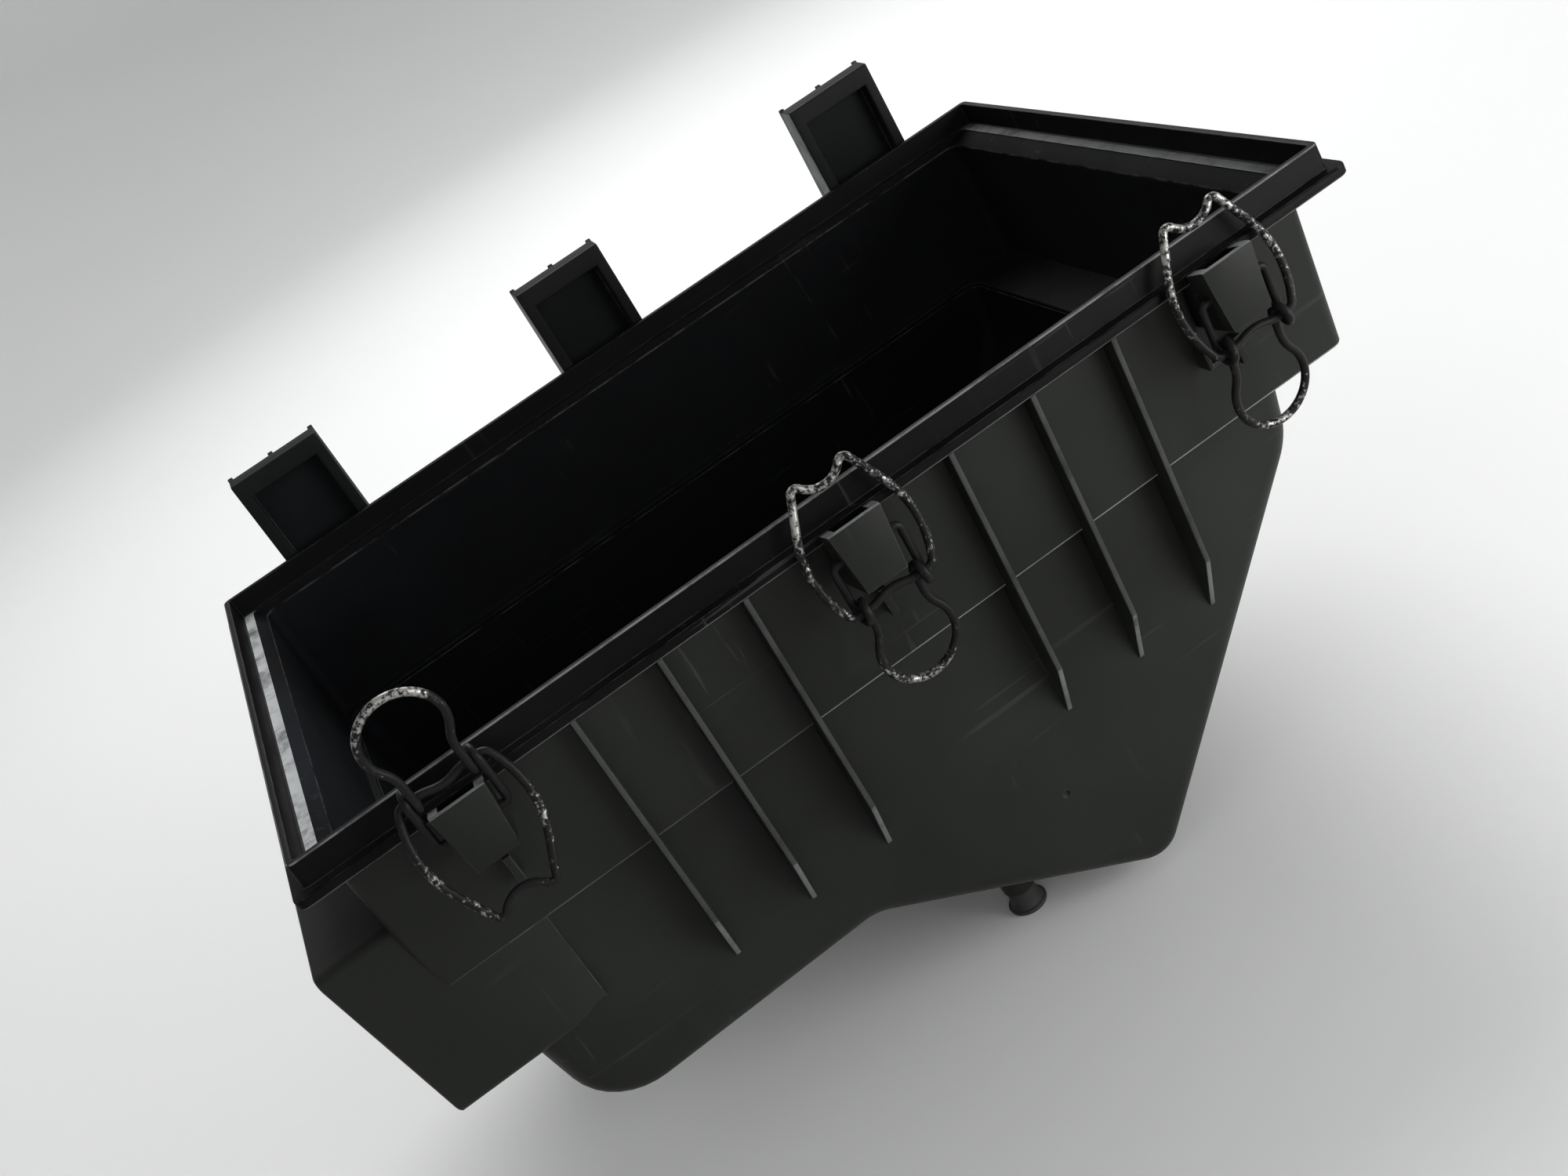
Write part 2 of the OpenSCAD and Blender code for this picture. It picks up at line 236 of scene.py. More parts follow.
def block(bm, low, high):
    """A box between two corners, as new geometry; returns its vertices."""
    low, high = Vector(low), Vector(high)
    made = bmesh.ops.create_cube(bm, size=1)["verts"]
    bmesh.ops.scale(bm, vec=high - low, verts=made)
    bmesh.ops.translate(bm, vec=(low + high) / 2, verts=made)
    return made


def prism(bm, outline, move):
    """Solid made by moving a flat outline; returns its faces."""
    face = bm.faces.new([bm.verts.new(p) for p in outline])
    grown = bmesh.ops.extrude_face_region(bm, geom=[face])["geom"]
    bmesh.ops.translate(bm, vec=move, verts=new_verts(grown))
    return [face] + [g for g in grown if isinstance(g, bmesh.types.BMFace)]


def bevel_edges(bm, edges, width, segments=2):
    """Rounds edges with an even profile."""
    bmesh.ops.bevel(
        bm, geom=list(edges), offset=width, segments=segments, profile=0.5,
        affect="EDGES", material=-1, clamp_overlap=True,
    )


def sharp_edges(bm, angle=30, among=None):
    """Edges where two faces meet at more than an angle in degrees."""
    edges = bm.edges if among is None else among
    return [
        e for e in edges
        if e.is_valid and len(e.link_faces) == 2 and e.calc_face_angle() > radians(angle)
    ]


def corner_arc(p, q, s, radius, steps=8):
    """Points that round corner q of the line p, q, s."""
    a, b = (p - q).normalized(), (s - q).normalized()
    half = acos(max(-1, min(1, a.dot(b)))) / 2
    centre = q + (a + b).normalized() * radius / sin(half)
    first, last = q + a * radius / tan(half), q + b * radius / tan(half)
    start = first - centre
    turn = start.angle_signed(last - centre)
    return [centre + Matrix.Rotation(-turn * i / steps, 2) @ start for i in range(steps + 1)]


def trail(steps, start, heading, facet=6):
    """Points of a flat wire after its start. A step is (length,) or (radius, angle),
    where a positive angle turns left."""
    points, at, a = [], Vector(start), heading
    for step in steps:
        if len(step) == 1:
            at = at + step[0] * Vector((cos(radians(a)), sin(radians(a))))
            points.append(at)
            continue
        radius, turn = step
        side = 1 if turn > 0 else -1
        centre = at + side * radius * Vector((-sin(radians(a)), cos(radians(a))))
        count = max(2, round(abs(turn) / facet))
        for k in range(1, count + 1):
            b = radians(a + turn * k / count)
            points.append(centre + side * radius * Vector((sin(b), -cos(b))))
        at, a = points[-1], a + turn
    return points


# ---------------------------------------------------------------- pieces


def smooth(mesh, angle=35):
    """Shades a mesh smooth, except across edges sharper than an angle in degrees."""
    mesh.shade_smooth()
    mesh.set_sharp_from_angle(angle=radians(angle))


def add_object(name, data):
    """A new object in the scene."""
    made = bpy.data.objects.new(name, data)
    bpy.context.scene.collection.objects.link(made)
    return made


def settle(bm, name, body, stands_for, material, paint=None):
    """Turns a bmesh in millimetres about the mouth into a finished piece. paint gives, for the finish,
    how much scuffs and painted highlights lighten a face and how much painted shade it gets, from its
    middle and normal."""
    bmesh.ops.scale(bm, vec=(MM, MM, MM), verts=bm.verts)
    bmesh.ops.translate(bm, vec=MOUTH, verts=bm.verts)
    mesh = bpy.data.meshes.new(name)
    bm.to_mesh(mesh)
    bm.free()
    smooth(mesh)
    mesh.materials.append(material)
    if paint:
        marks = [paint((face.center - MOUTH) / MM, face.normal) for face in mesh.polygons]
        for key, column in zip(("brightening", "painted_shade"), zip(*marks)):
            mesh.attributes.new(key, "FLOAT", "FACE").data.foreach_set("value", column)
    piece = add_object(name, mesh)
    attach(piece, body)
    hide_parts(stands_for)
    return piece


def shade_facing_middle(middle):
    """Paint for a hollow piece: its faces that look towards the middle get painted shade."""
    return lambda centre, normal: (0.0, 1.0 if normal.dot(middle - centre) > 0 else 0.0)


def combine(bm, tools, operation="DIFFERENCE"):
    """bm with the solids of tools, a second bmesh, cut out of it or joined to it."""
    parts = []
    for label, source in (("body", bm), ("tool", tools)):
        mesh = bpy.data.meshes.new(label)
        bmesh.ops.recalc_face_normals(source, faces=source.faces)
        source.to_mesh(mesh)
        source.free()
        parts.append(add_object(label, mesh))
    body, tool = parts
    boolean = body.modifiers.new("combine", "BOOLEAN")
    boolean.operation = operation
    boolean.solver = "EXACT"
    boolean.object = tool
    bpy.context.view_layer.update()
    result = body.evaluated_get(bpy.context.evaluated_depsgraph_get()).to_mesh()
    cut = bmesh.new()
    cut.from_mesh(result)
    for part in parts:
        mesh = part.data
        bpy.data.objects.remove(part)
        bpy.data.meshes.remove(mesh)
    bmesh.ops.remove_doubles(cut, verts=cut.verts, dist=0.001)
    return cut


BOX_TUCK = 6  # how far the box's long walls come in between flange and step
HOPPER_LEAN = 0.086  # how far the hopper's long walls come in for each unit of depth


def wall_y(z):
    """How far the outside of the long walls is from the middle at a height."""
    if z > STEP_Z:
        return BOX_HIGH.y - BOX_TUCK * (FLANGE_LOW - z) / (FLANGE_LOW - STEP_Z)
    return HOPPER_HIGH.y - HOPPER_LEAN * (STEP_Z - z)


def make_rim():
    """Flange, lip and the ledge inside the lip, as one ring."""
    s = sizes()
    lip, height, wall = s.lip_thickness / MM, s.lip_height / MM, s.wall / MM
    out = Vector((RIM_HIGH.x, RIM_HIGH.y))
    edge = out - Vector((1, 1)) * s.flange_overhang / MM

    def ring(half, inset, radius, z):
        return rounded_rect((-half.x + inset, -half.y + inset), (half.x - inset, half.y - inset), radius, z)

    def bore(inset, radius, z):
        return rounded_rect(
            (BOX_LOW.x + wall - inset, BOX_LOW.y + wall - inset),
            (BOX_HIGH.x - wall + inset, BOX_HIGH.y - wall + inset), radius, z,
        )

    def shelf(inset, radius, z):
        half = Vector((edge.x - lip - ledge + inset, BOX_HIGH.y - wall + 0.7 - inset))
        return rounded_rect(-half, half, radius, z)

    ledge, top_round = 5.5, 0.55
    ledge_scuff_and_sheen_left, ledge_scuff_and_sheen_right, lip_highlight, flange_edge_highlight = 0.85, 0.16, 0.22, 0.16
    bm = bmesh.new()
    skin(bm, [
        # underside, and the flange's edge and top
        bore(0, 5, FLANGE_LOW),
        ring(out, 0.5, 3.5, FLANGE_LOW),
        ring(out, 0, 4, FLANGE_LOW + 0.5),
        ring(out, 0, 4, -height - 0.7),
        ring(out, 0.25, 3.8, -height - 0.2),
        ring(out, 0.8, 3.4, -height),
        # fillet, outside and round top of the lip
        ring(edge, -1.1, 4, -height),
        ring(edge, -0.3, 3.4, -height + 0.3),
        ring(edge, 0, 3, -height + 1.1),
        ring(edge, 0.15, 3, -top_round),
        ring(edge, 0.3, 2.8, -0.15),
        ring(edge, 0.75, 2.4, 0),
        ring(edge, lip - 0.75, 1.6, 0),
        ring(edge, lip - 0.25, 1.4, -0.2),
        # inside of the lip, and its fillet to the ledge
        ring(edge, lip, 1.2, -top_round - 0.2),
        ring(edge, lip + 0.1, 1.2, -height + 1.2),
        ring(edge, lip + 0.4, 1.2, -height + 0.35),
        ring(edge, lip + 1.0, 1.2, -height),
        # ledge's edge, and the slope back down to the box
        shelf(0, 2, -height),
        shelf(0.4, 1.8, -height - 0.3),
        bore(0.4, 4.5, FLANGE_LOW + 0.9),
        bore(0, 5, FLANGE_LOW + 0.4),
    ])
    bmesh.ops.recalc_face_normals(bm, faces=bm.faces)

    def paint(centre, normal):
        # the ledges are lightened: scuffs with a painted reflection, strongest on the left
        if abs(centre.z + height) < 0.1 and abs(centre.x) > edge.x - lip - ledge + 0.5:
            if edge.x - abs(centre.x) > lip + 1.2:
                return (ledge_scuff_and_sheen_left if centre.x < 0 else ledge_scuff_and_sheen_right), 0.0
        # painted shade on the slope from the ledge down into the box
        if FLANGE_LOW + 0.5 < centre.z < -height - 0.05 and normal.z > 0.3 and abs(centre.x) < edge.x - 4:
            return 0.0, 1.0
        # painted highlight along the lip's round top
        if -0.5 < centre.z < -0.02 and (abs(centre.x) > edge.x - 1 or abs(centre.y) > edge.y - 1):
            return lip_highlight, 0.0
        # painted highlight along the flange's lower outer edge
        if centre.z < FLANGE_LOW + 0.45 and max(abs(centre.x) - edge.x, abs(centre.y) - edge.y) > 3:
            return flange_edge_highlight, 0.0
        return 0.0, 0.0

    return settle(bm, "mouth_rim_moulded", "housing", "mouth_rim", rim_plastic(), paint)


def snout_passage(room=0.0):
    """The way through the end walls from the snout, as a solid to cut with."""
    wall = sizes().wall / MM - room
    outward, inward = 2, 34  # how far the cut runs each way from the box's end
    tool = bmesh.new()
    block(
        tool,
        (BOX_LOW.x - outward, SNOUT_LOW.y + wall, SNOUT_LOW.z + wall),
        (BOX_LOW.x + inward, SNOUT_HIGH.y - wall, SNOUT_HIGH.z - wall),
    )
    return tool


def make_box():
    """Upper box: four walls and the step down to the hopper's mouth."""
    wall = sizes().wall / MM
    lean = BOX_HIGH.y - wall_y(STEP_Z + 0.01)

    def ring(inset, depth, radius, z):
        tuck = lean * depth
        return rounded_rect(
            (BOX_LOW.x + inset, BOX_LOW.y + tuck + inset),
            (BOX_HIGH.x - inset, BOX_HIGH.y - tuck - inset), radius, z,
        )

    mouth, step_highlight_x = 2.2, -42  # the step's front edge gets a painted highlight, stronger to the right of this x
    opening = rounded_rect(
        (HOPPER_LOW.x + mouth, HOPPER_LOW.y + mouth),
        (HOPPER_HIGH.x - mouth, HOPPER_HIGH.y - mouth), 7, STEP_Z,
    )
    bm = bmesh.new()
    skin(bm, [
        ring(0, 0, 3.5, FLANGE_LOW - 0.001),
        ring(0, 0.97, 5, STEP_Z + 1.0),
        ring(0.2, 1, 4.8, STEP_Z + 0.35),
        ring(0.7, 1, 4.5, STEP_Z + 0.05),
        [p + Vector((0, 0, 0.05)) for p in opening],
        [p + Vector((0, 0, wall - 0.6)) for p in opening],
        [p + Vector(((-0.5 if p.x < 0 else 0.5), (-0.5 if p.y < 0 else 0.5), wall)) for p in opening],
        ring(wall + 2.0, 1, 4.5, STEP_Z + wall),
        ring(wall + 0.6, 1, 5, STEP_Z + wall + 0.6),
        ring(wall, 0.95, 5, STEP_Z + wall + 2.0),
        ring(wall, 0, 5, FLANGE_LOW - 0.001),
    ])
    bm = combine(bm, snout_passage())
    bmesh.ops.bisect_plane(
        bm, geom=whole(bm), plane_co=(step_highlight_x, 0, 0), plane_no=(1, 0, 0),
    )
    # faces that look into the box get painted shade
    inside_shade = shade_facing_middle(Vector((0, 0, -40)))

    def paint(centre, normal):
        # painted highlight along the step's front edge
        if centre.z < STEP_Z + 1.0 and centre.y < -wall_y(STEP_Z + 0.1) + 0.8:
            return (0.28 if centre.x > step_highlight_x else 0.1), 0.0
        return inside_shade(centre, normal)

    return settle(bm, "box_walls_moulded", "housing", "box_walls", black_plastic(), paint)


HOPPER_CORNERS = (  # x, height and rounding of each corner of the hopper seen from the front
    (-182.5, -171, 28), (-60, -168, 20), (52.7, -235.8, 14), (167, -100, 30),
)


def hopper_outline():
    """The hopper seen from the front, from its top left round the bottom to its top right."""
    ends = [Vector((HOPPER_LOW.x, STEP_Z)), Vector((HOPPER_HIGH.x, STEP_Z))]
    corners = [Vector(c[:2]) for c in HOPPER_CORNERS]
    line = [ends[0]] + corners + [ends[1]]
    points = [ends[0]]
    for i, (_, _, radius) in enumerate(HOPPER_CORNERS):
        points += corner_arc(line[i], line[i + 1], line[i + 2], radius)
    return points + [ends[1]]


def make_hopper():
    """Hopper: one outline carried from front to back, with rounded long edges."""
    wall, long_round = sizes().wall / MM, 9
    outline = hopper_outline()
    bm = bmesh.new()
    front = [bm.verts.new((p.x, -wall_y(min(p.y, STEP_Z)), p.y)) for p in outline]
    edges = [bm.edges.new(pair) for pair in zip(front, front[1:])]
    grown = bmesh.ops.extrude_edge_only(bm, edges=edges)["geom"]
    back = new_verts(grown)
    for v in back:
        v.co.y = -v.co.y
    back_edges = [
        g for g in grown
        if isinstance(g, bmesh.types.BMEdge) and len(g.link_faces) == 1 and all(v in back for v in g.verts)
    ]
    for rim in (edges, back_edges):
        verts = {v for e in rim for v in e.verts}
        ends = [v for v in verts if abs(v.co.z - STEP_Z) < 0.01]
        closing = bm.edges.new(ends)
        bmesh.ops.contextual_create(bm, geom=rim + [closing])
    bevel_edges(bm, edges + back_edges, long_round, 6)
    bmesh.ops.recalc_face_normals(bm, faces=bm.faces)
    inside = Vector((0, 0, -120))
    outward = sum(f.normal.dot(f.calc_center_median() - inside) * f.calc_area() for f in bm.faces)
    if outward < 0:
        bmesh.ops.reverse_faces(bm, faces=bm.faces)
    bmesh.ops.solidify(bm, geom=bm.faces, thickness=wall)
    bm = combine(bm, snout_passage())
    dimple_x, dimple_z, dimple_r, dimple_out = 25.6, -173, 1.8, 0.7  # low on the front wall
    dimple = bmesh.new()
    bmesh.ops.create_uvsphere(
        dimple, u_segments=20, v_segments=12, radius=dimple_r,
        matrix=Matrix.Translation((dimple_x, -wall_y(dimple_z) - dimple_out, dimple_z)),
    )
    bm = combine(bm, dimple)
    # faces that look into the hopper get painted shade
    inside_shade = shade_facing_middle(Vector((0, 0, -110)))
    return settle(bm, "hopper_moulded", "housing", "hopper", black_plastic(), inside_shade)


def make_snout():
    """Inlet snout: a rectangular tube whose front wall runs on across the hopper."""
    wall, lean = sizes().wall / MM, sizes().snout_lean / MM
    height, slope_run = SNOUT_HIGH.z - SNOUT_LOW.z, 12

    def ring(x, inset, radius):
        points = rounded_rect(
            (SNOUT_LOW.y + inset, SNOUT_LOW.z + inset),
            (SNOUT_HIGH.y - inset, SNOUT_HIGH.z - inset), radius, x, "yzx",
        )
        for p in points:  # the open end leans in, the other stops in the hopper's end wall
            if x < BOX_LOW.x:
                p.x += lean * (SNOUT_HIGH.z - p.z) / height
            elif p.z < STEP_Z:
                p.x += slope_run * (STEP_Z - p.z) / (STEP_Z - SNOUT_LOW.z) + HOPPER_LOW.x - BOX_LOW.x
        return points

    bm = bmesh.new()
    skin(bm, [
        ring(SNOUT_LOW.x, 0.6, 4.4),
        ring(SNOUT_LOW.x + 0.6, 0, 5),
        ring(BOX_LOW.x + 1, 0, 5),
        ring(BOX_LOW.x + 1, wall, 3),
        ring(SNOUT_LOW.x + 0.6, wall, 3),
        ring(SNOUT_LOW.x, wall - 0.5, 3.4),
    ])
    pad = bmesh.new()  # the front wall's run across the hopper, thinning to nothing
    root, run = -wall_y(STEP_Z - 0.01), SNOUT_HIGH.x - BOX_LOW.x
    start, flat_end, thin_end = BOX_LOW.x + 0.5, BOX_LOW.x + 0.75 * run, BOX_LOW.x + 1.15 * run
    sunk, pad_round = root + 8, 5
    prism(pad, [
        (start, SNOUT_LOW.y, SNOUT_LOW.z), (flat_end, SNOUT_LOW.y, SNOUT_LOW.z),
        (thin_end, root, SNOUT_LOW.z), (thin_end, sunk, SNOUT_LOW.z), (start, sunk, SNOUT_LOW.z),
    ], (0, 0, STEP_Z + 1.5 - SNOUT_LOW.z))
    bmesh.ops.recalc_face_normals(pad, faces=pad.faces)
    bevel_edges(pad, [
        e for e in pad.edges
        if all(v.co.z < SNOUT_LOW.z + 0.1 and v.co.y < root + 0.1 for v in e.verts)
    ], pad_round, 5)
    bm = combine(bm, pad, "UNION")
    bm = combine(bm, snout_passage(0.02))
    bmesh.ops.recalc_face_normals(bm, faces=bm.faces)
    return settle(bm, "inlet_snout_moulded", "housing", "inlet_snout", black_plastic())


def make_ribs():
    """Six deep ribs down the front wall, flush with the flange's edge at their tops."""
    low, high = local_box("front_ribs")
    root, half_root, half_edge = 1.0, 1.45, 1.15
    highlight_low, highlight_high = 0.16, 0.045  # painted highlight on the ribs' fronts, below and above the knee
    knee = (low.y + 10, FLANGE_LOW - 100.5)
    outline = [
        (low.y, FLANGE_LOW + 0.3), knee, (-wall_y(low.z) - 0.3, low.z),
        (-wall_y(low.z) + root, low.z - 1), (-wall_y(STEP_Z - 0.01) + root, STEP_Z),
        (-wall_y(STEP_Z + 0.01) + root, STEP_Z), (-wall_y(FLANGE_LOW) + root, FLANGE_LOW + 0.3),
    ]
    spacing = [(high.x - half_edge) - d for d in (0, 34.2, 68.5)]
    bm = bmesh.new()
    for x in spacing + [-x for x in spacing]:
        faces = prism(bm, [(x - half_root, y, z) for y, z in outline], (2 * half_root, 0, 0))
        for v in {v for f in faces for v in f.verts}:
            if any(abs(v.co.y - y) < 1e-4 and abs(v.co.z - z) < 1e-4 for y, z in outline[:3]):
                v.co.x = x + (half_edge if v.co.x > x else -half_edge)
    bmesh.ops.recalc_face_normals(bm, faces=bm.faces)
    bevel_edges(bm, [
        e for e in sharp_edges(bm)
        if min(v.co.y + wall_y(v.co.z) for v in e.verts) < -0.2
    ], 0.5, 3)

    def paint(centre, normal):
        # the ribs' front faces get a painted highlight, stronger below the knee
        front = normal.y < -0.8 and centre.y < -wall_y(centre.z) - 1
        return (0.0 if not front else highlight_low if centre.z < knee[1] else highlight_high), 0.0

    return settle(bm, "front_ribs_moulded", "housing", "front_ribs", black_plastic(), paint)


def make_socket(side):
    """Hinge socket: a plate with a framed pocket towards the mouth and ribs behind."""
    node = f"hinge_socket_{side}"
    low, high = local_box(node)
    x = (low.x + high.x) / 2
    half, front = (high.x - low.x) / 2, low.y
    back, base, top = front + 12, FLANGE_LOW + 0.4, high.z - 1.5
    frame_side, frame_top, floor, half_rib, gusset = 5.5, 9, 4, 1.2, 5
    bm = bmesh.new()
    xs = (-half, -half + frame_side, half - frame_side, half)
    zs = (base, top - frame_top, top)
    grid = [[bm.verts.new((x + u, back, z)) for z in zs] for u in xs]
    every = [
        bm.faces.new((here[j], there[j], there[j + 1], here[j + 1]))
        for here, there in zip(grid, grid[1:]) for j in range(2)
    ]
    grown = bmesh.ops.extrude_face_region(bm, geom=every)["geom"]
    bmesh.ops.translate(bm, vec=(0, -floor, 0), verts=new_verts(grown))
    fresh = [g for g in grown if isinstance(g, bmesh.types.BMFace)]
    pocket = min(fresh, key=lambda f: (f.calc_center_median() - Vector((x, back - floor, base))).length)
    raised = [f for f in fresh if f is not pocket]
    grown = bmesh.ops.extrude_face_region(bm, geom=raised)["geom"]
    verts = new_verts(grown)
    bmesh.ops.translate(bm, vec=(0, front - back + floor, 0), verts=verts)
    for v in verts:  # the rails are slightly narrower at their front than at their root
        v.co.x += -0.4 if abs(v.co.x - x) > half - 1 and v.co.x > x else 0
    bmesh.ops.recalc_face_normals(bm, faces=bm.faces)
    bevel_edges(bm, sharp_edges(bm), 0.9, 3)
    for u in (-1, 0, 1):
        centre = x + u * (half - half_rib)
        made = block(bm, (centre - half_rib, back - 0.5, base - 0.2), (centre + half_rib, high.y, high.z))
        for v in made:  # each rib grows deeper towards its foot
            if v.co.z > 0:
                v.co.z -= 0.9
                v.co.y = min(v.co.y, back + 1.8)
        bevel_edges(bm, {e for v in made for e in v.link_edges}, 0.35, 2)
    gusset_outline = (
        (back - 2, base), (BOX_HIGH.y + 4, base), (BOX_HIGH.y + 2, FLANGE_LOW - gusset),
        (BOX_HIGH.y - 0.5, FLANGE_LOW - gusset), (BOX_HIGH.y - 0.5, base),
    )
    for u in (-half + 2 * half_rib, half - 2 * half_rib):
        prism(bm, [(x + u - half_rib, y, z) for y, z in gusset_outline], (2 * half_rib, 0, 0))
    bmesh.ops.recalc_face_normals(bm, faces=bm.faces)

    def paint(centre, normal):
        # the rails' left-facing sides get a painted highlight, stronger on the right socket
        if normal.x < -0.8 and abs(centre.x - x) > half - 1:
            return (0.30 if side == "right" else 0.10), 0.0
        # painted shade in the pocket, and lighter painted shade on the frame's front
        return 0.0, (0.8 if centre.y > front + 1 and normal.y < 0.5 else 0.55 if normal.y < -0.5 else 0.0)

    return settle(bm, f"{node}_moulded", "housing", node, black_plastic(), paint)


def free_edges(verts, limit):
    """Edges of a block that stand clear of the wall, in front of a limit."""
    return {e for v in verts for e in v.link_edges if all(o.co.y < limit for o in e.verts)}


def make_boss(side):
    """Latch boss: a front plate on two cheeks, open at top and bottom, bored for the wire."""
    node = f"latch_boss_{side}"
    low, high = local_box(node)
    x = (low.x + high.x) / 2
    half = (high.x - low.x) / 2
    front, plate, cheek, foot, taper, top_rub = low.y, 2.5, 3.5, -33, 2.4, 0.26
    seat = -wall_y(foot) + 1
    bm = bmesh.new()
    outline = [
        (-half, front), (half, front), (half, seat), (half - cheek, seat),
        (half - cheek, front + plate), (cheek - half, front + plate), (cheek - half, seat), (-half, seat),
    ]
    prism(bm, [(x + u, y, foot) for u, y in outline], (0, 0, high.z - foot))
    for v in bm.verts:  # the front plate narrows towards its foot
        if v.co.z < foot + 0.1 and v.co.y < front + plate + 0.1:
            v.co.x += -taper if v.co.x > x else taper
    # the cheeks' tops slope down from the plate and end inside the flange
    bmesh.ops.bisect_plane(
        bm, geom=whole(bm), plane_co=(x, front + plate, high.z - 0.3),
        plane_no=(0, 0.26, 1), clear_outer=True,
    )
    close_cuts(bm)
    bevel_edges(bm, [e for e in sharp_edges(bm) if max(v.co.y for v in e.verts) < seat - 1], 0.55, 2)
    pin = bmesh.new()
    bmesh.ops.create_cone(
        pin, cap_ends=True, segments=32, radius1=1.75, radius2=1.75, depth=2 * half + 4,
        matrix=Matrix.Translation((x, PIVOT_Y, PIVOT_Z)) @ Matrix.Rotation(pi / 2, 4, "Y"),
    )
    bm = combine(bm, pin)
    tab = block(bm, (x - 1.5, low.y + 17, low.z), (x + 1.5, -wall_y(-50) + 1, -43))
    bevel_edges(bm, free_edges(tab, seat - 2), 0.5, 2)
    if side == "right":
        # an upright and a small shelf stand on the wall beside the boss
        bracket_x, bracket_z = x - 14.5, -48
        upright = block(
            bm, (bracket_x, -BOX_HIGH.y - 3.5, bracket_z),
            (bracket_x + 1.8, -wall_y(-30) + 3, FLANGE_LOW + 0.4),
        )
        shelf = block(
            bm, (bracket_x + 0.2, -BOX_HIGH.y - 2.8, bracket_z),
            (bracket_x + 8, -wall_y(bracket_z) + 1, bracket_z + 1.6),
        )
        for made in (upright, shelf):
            bevel_edges(bm, free_edges(made, -BOX_HIGH.y), 0.4, 2)

    def paint(centre, normal):
        return (top_rub if normal.z > 0.7 and centre.z > FLANGE_LOW else 0.0), 0.0

    return settle(bm, f"{node}_moulded", "housing", node, black_plastic(), paint)


def make_post(place):
    """Foot post: a turned peg whose root is cut to the hopper's slope."""
    node = f"foot_post_{place}"
    foot_low, foot_high = local_box(f"rubber_foot_{place}")
    x, y = (foot_low.x + foot_high.x) / 2, (foot_low.y + foot_high.y) / 2
    base, top = foot_high.z, local_box(node)[1].z + 6
    peg_r, peg_length, tip_r, flare, flare_top = 3, 7, 7, 4, -155
    root_r = tip_r + flare * (top - base) / (flare_top - base)
    profile = [
        (0, base - peg_length), (peg_r - 0.4, base - peg_length), (peg_r, base - peg_length + 0.5),
        (peg_r, base), (tip_r - 0.4, base), (tip_r, base + 0.4), (root_r, top), (0, top),
    ]
    bm = lathe(profile, x, y, 40)
    for (x0, z0, _), (x1, z1, _) in zip(HOPPER_CORNERS, HOPPER_CORNERS[1:]):
        if x0 <= x <= x1:
            slope = Vector((z0 - z1, 0, x1 - x0)).normalized()
            bmesh.ops.bisect_plane(
                bm, geom=whole(bm),
                plane_co=Vector((x0, 0, z0)) + slope * 1.2, plane_no=slope, clear_outer=True,
            )
    close_cuts(bm)
    return settle(bm, f"{node}_moulded", "housing", node, black_plastic())


def lathe(profile, x, y, steps):
    """A profile of (radius, height) points turned about the upright line at x, y."""
    bm = bmesh.new()
    verts = [bm.verts.new((x + r, y, z)) for r, z in profile]
    edges = [bm.edges.new(pair) for pair in zip(verts, verts[1:])]
    bmesh.ops.spin(
        bm, geom=verts + edges, cent=(x, y, 0), axis=(0, 0, 1), angle=2 * pi,
        steps=steps, use_merge=True,
    )
    bmesh.ops.remove_doubles(bm, verts=bm.verts, dist=0.001)
    bmesh.ops.recalc_face_normals(bm, faces=bm.faces)
    return bm


def make_foot(place):
    """Rubber foot: a flared base below a waisted neck."""
    node = f"rubber_foot_{place}"
    low, high = local_box(node)
    x, y = (low.x + high.x) / 2, (low.y + high.y) / 2
    r, z, top, neck, hole_r, hole_depth = (high.x - low.x) / 2, low.z, high.z, 6.25, 3.05, 7.5
    flare = [
        (neck + (r - neck - 0.2) * (1 - sin(radians(a))), z + 1.8 + 3.6 * (1 - cos(radians(a))))
        for a in range(0, 91, 10)
    ]
    profile = [(0, z), (r - 0.9, z), (r - 0.25, z + 0.25), (r, z + 0.8), (r, z + 1.4)] + flare
    profile += [
        (neck, top - 0.8), (neck - 0.25, top - 0.25), (neck - 0.8, top),
        (hole_r, top), (hole_r, top - hole_depth), (0, top - hole_depth),
    ]
    bm = lathe(profile, x, y, 48)
    return settle(bm, f"{node}_moulded", "housing", node, rubber())


# ---------------------------------------------------------------- latch wire

PIVOT_Y = local_middle("latch_boss_middle").y
PIVOT_Z = -20
LEVER_REACH, EYE_REACH, COIL_R, COIL_SHIFT = 56.5, 18.5, 3.6, 3.2
BULB_R, FLARE_R, FLARE_A = 14.5, 14, 32
WAIST_X = BULB_R * cos(radians(FLARE_A)) - FLARE_R * (1 - cos(radians(FLARE_A)))
LINK_BEND, PIN_END = 2.2, 6
LEVER_RUB, BAIL_RUB = (40, 58), (8, 30)  # where the rubbing starts and is full, from the hub


def joint_of(body):
    """The frame's joint that moves a body."""
    return next(j for j in frame["joints"] if j["child"] == body)


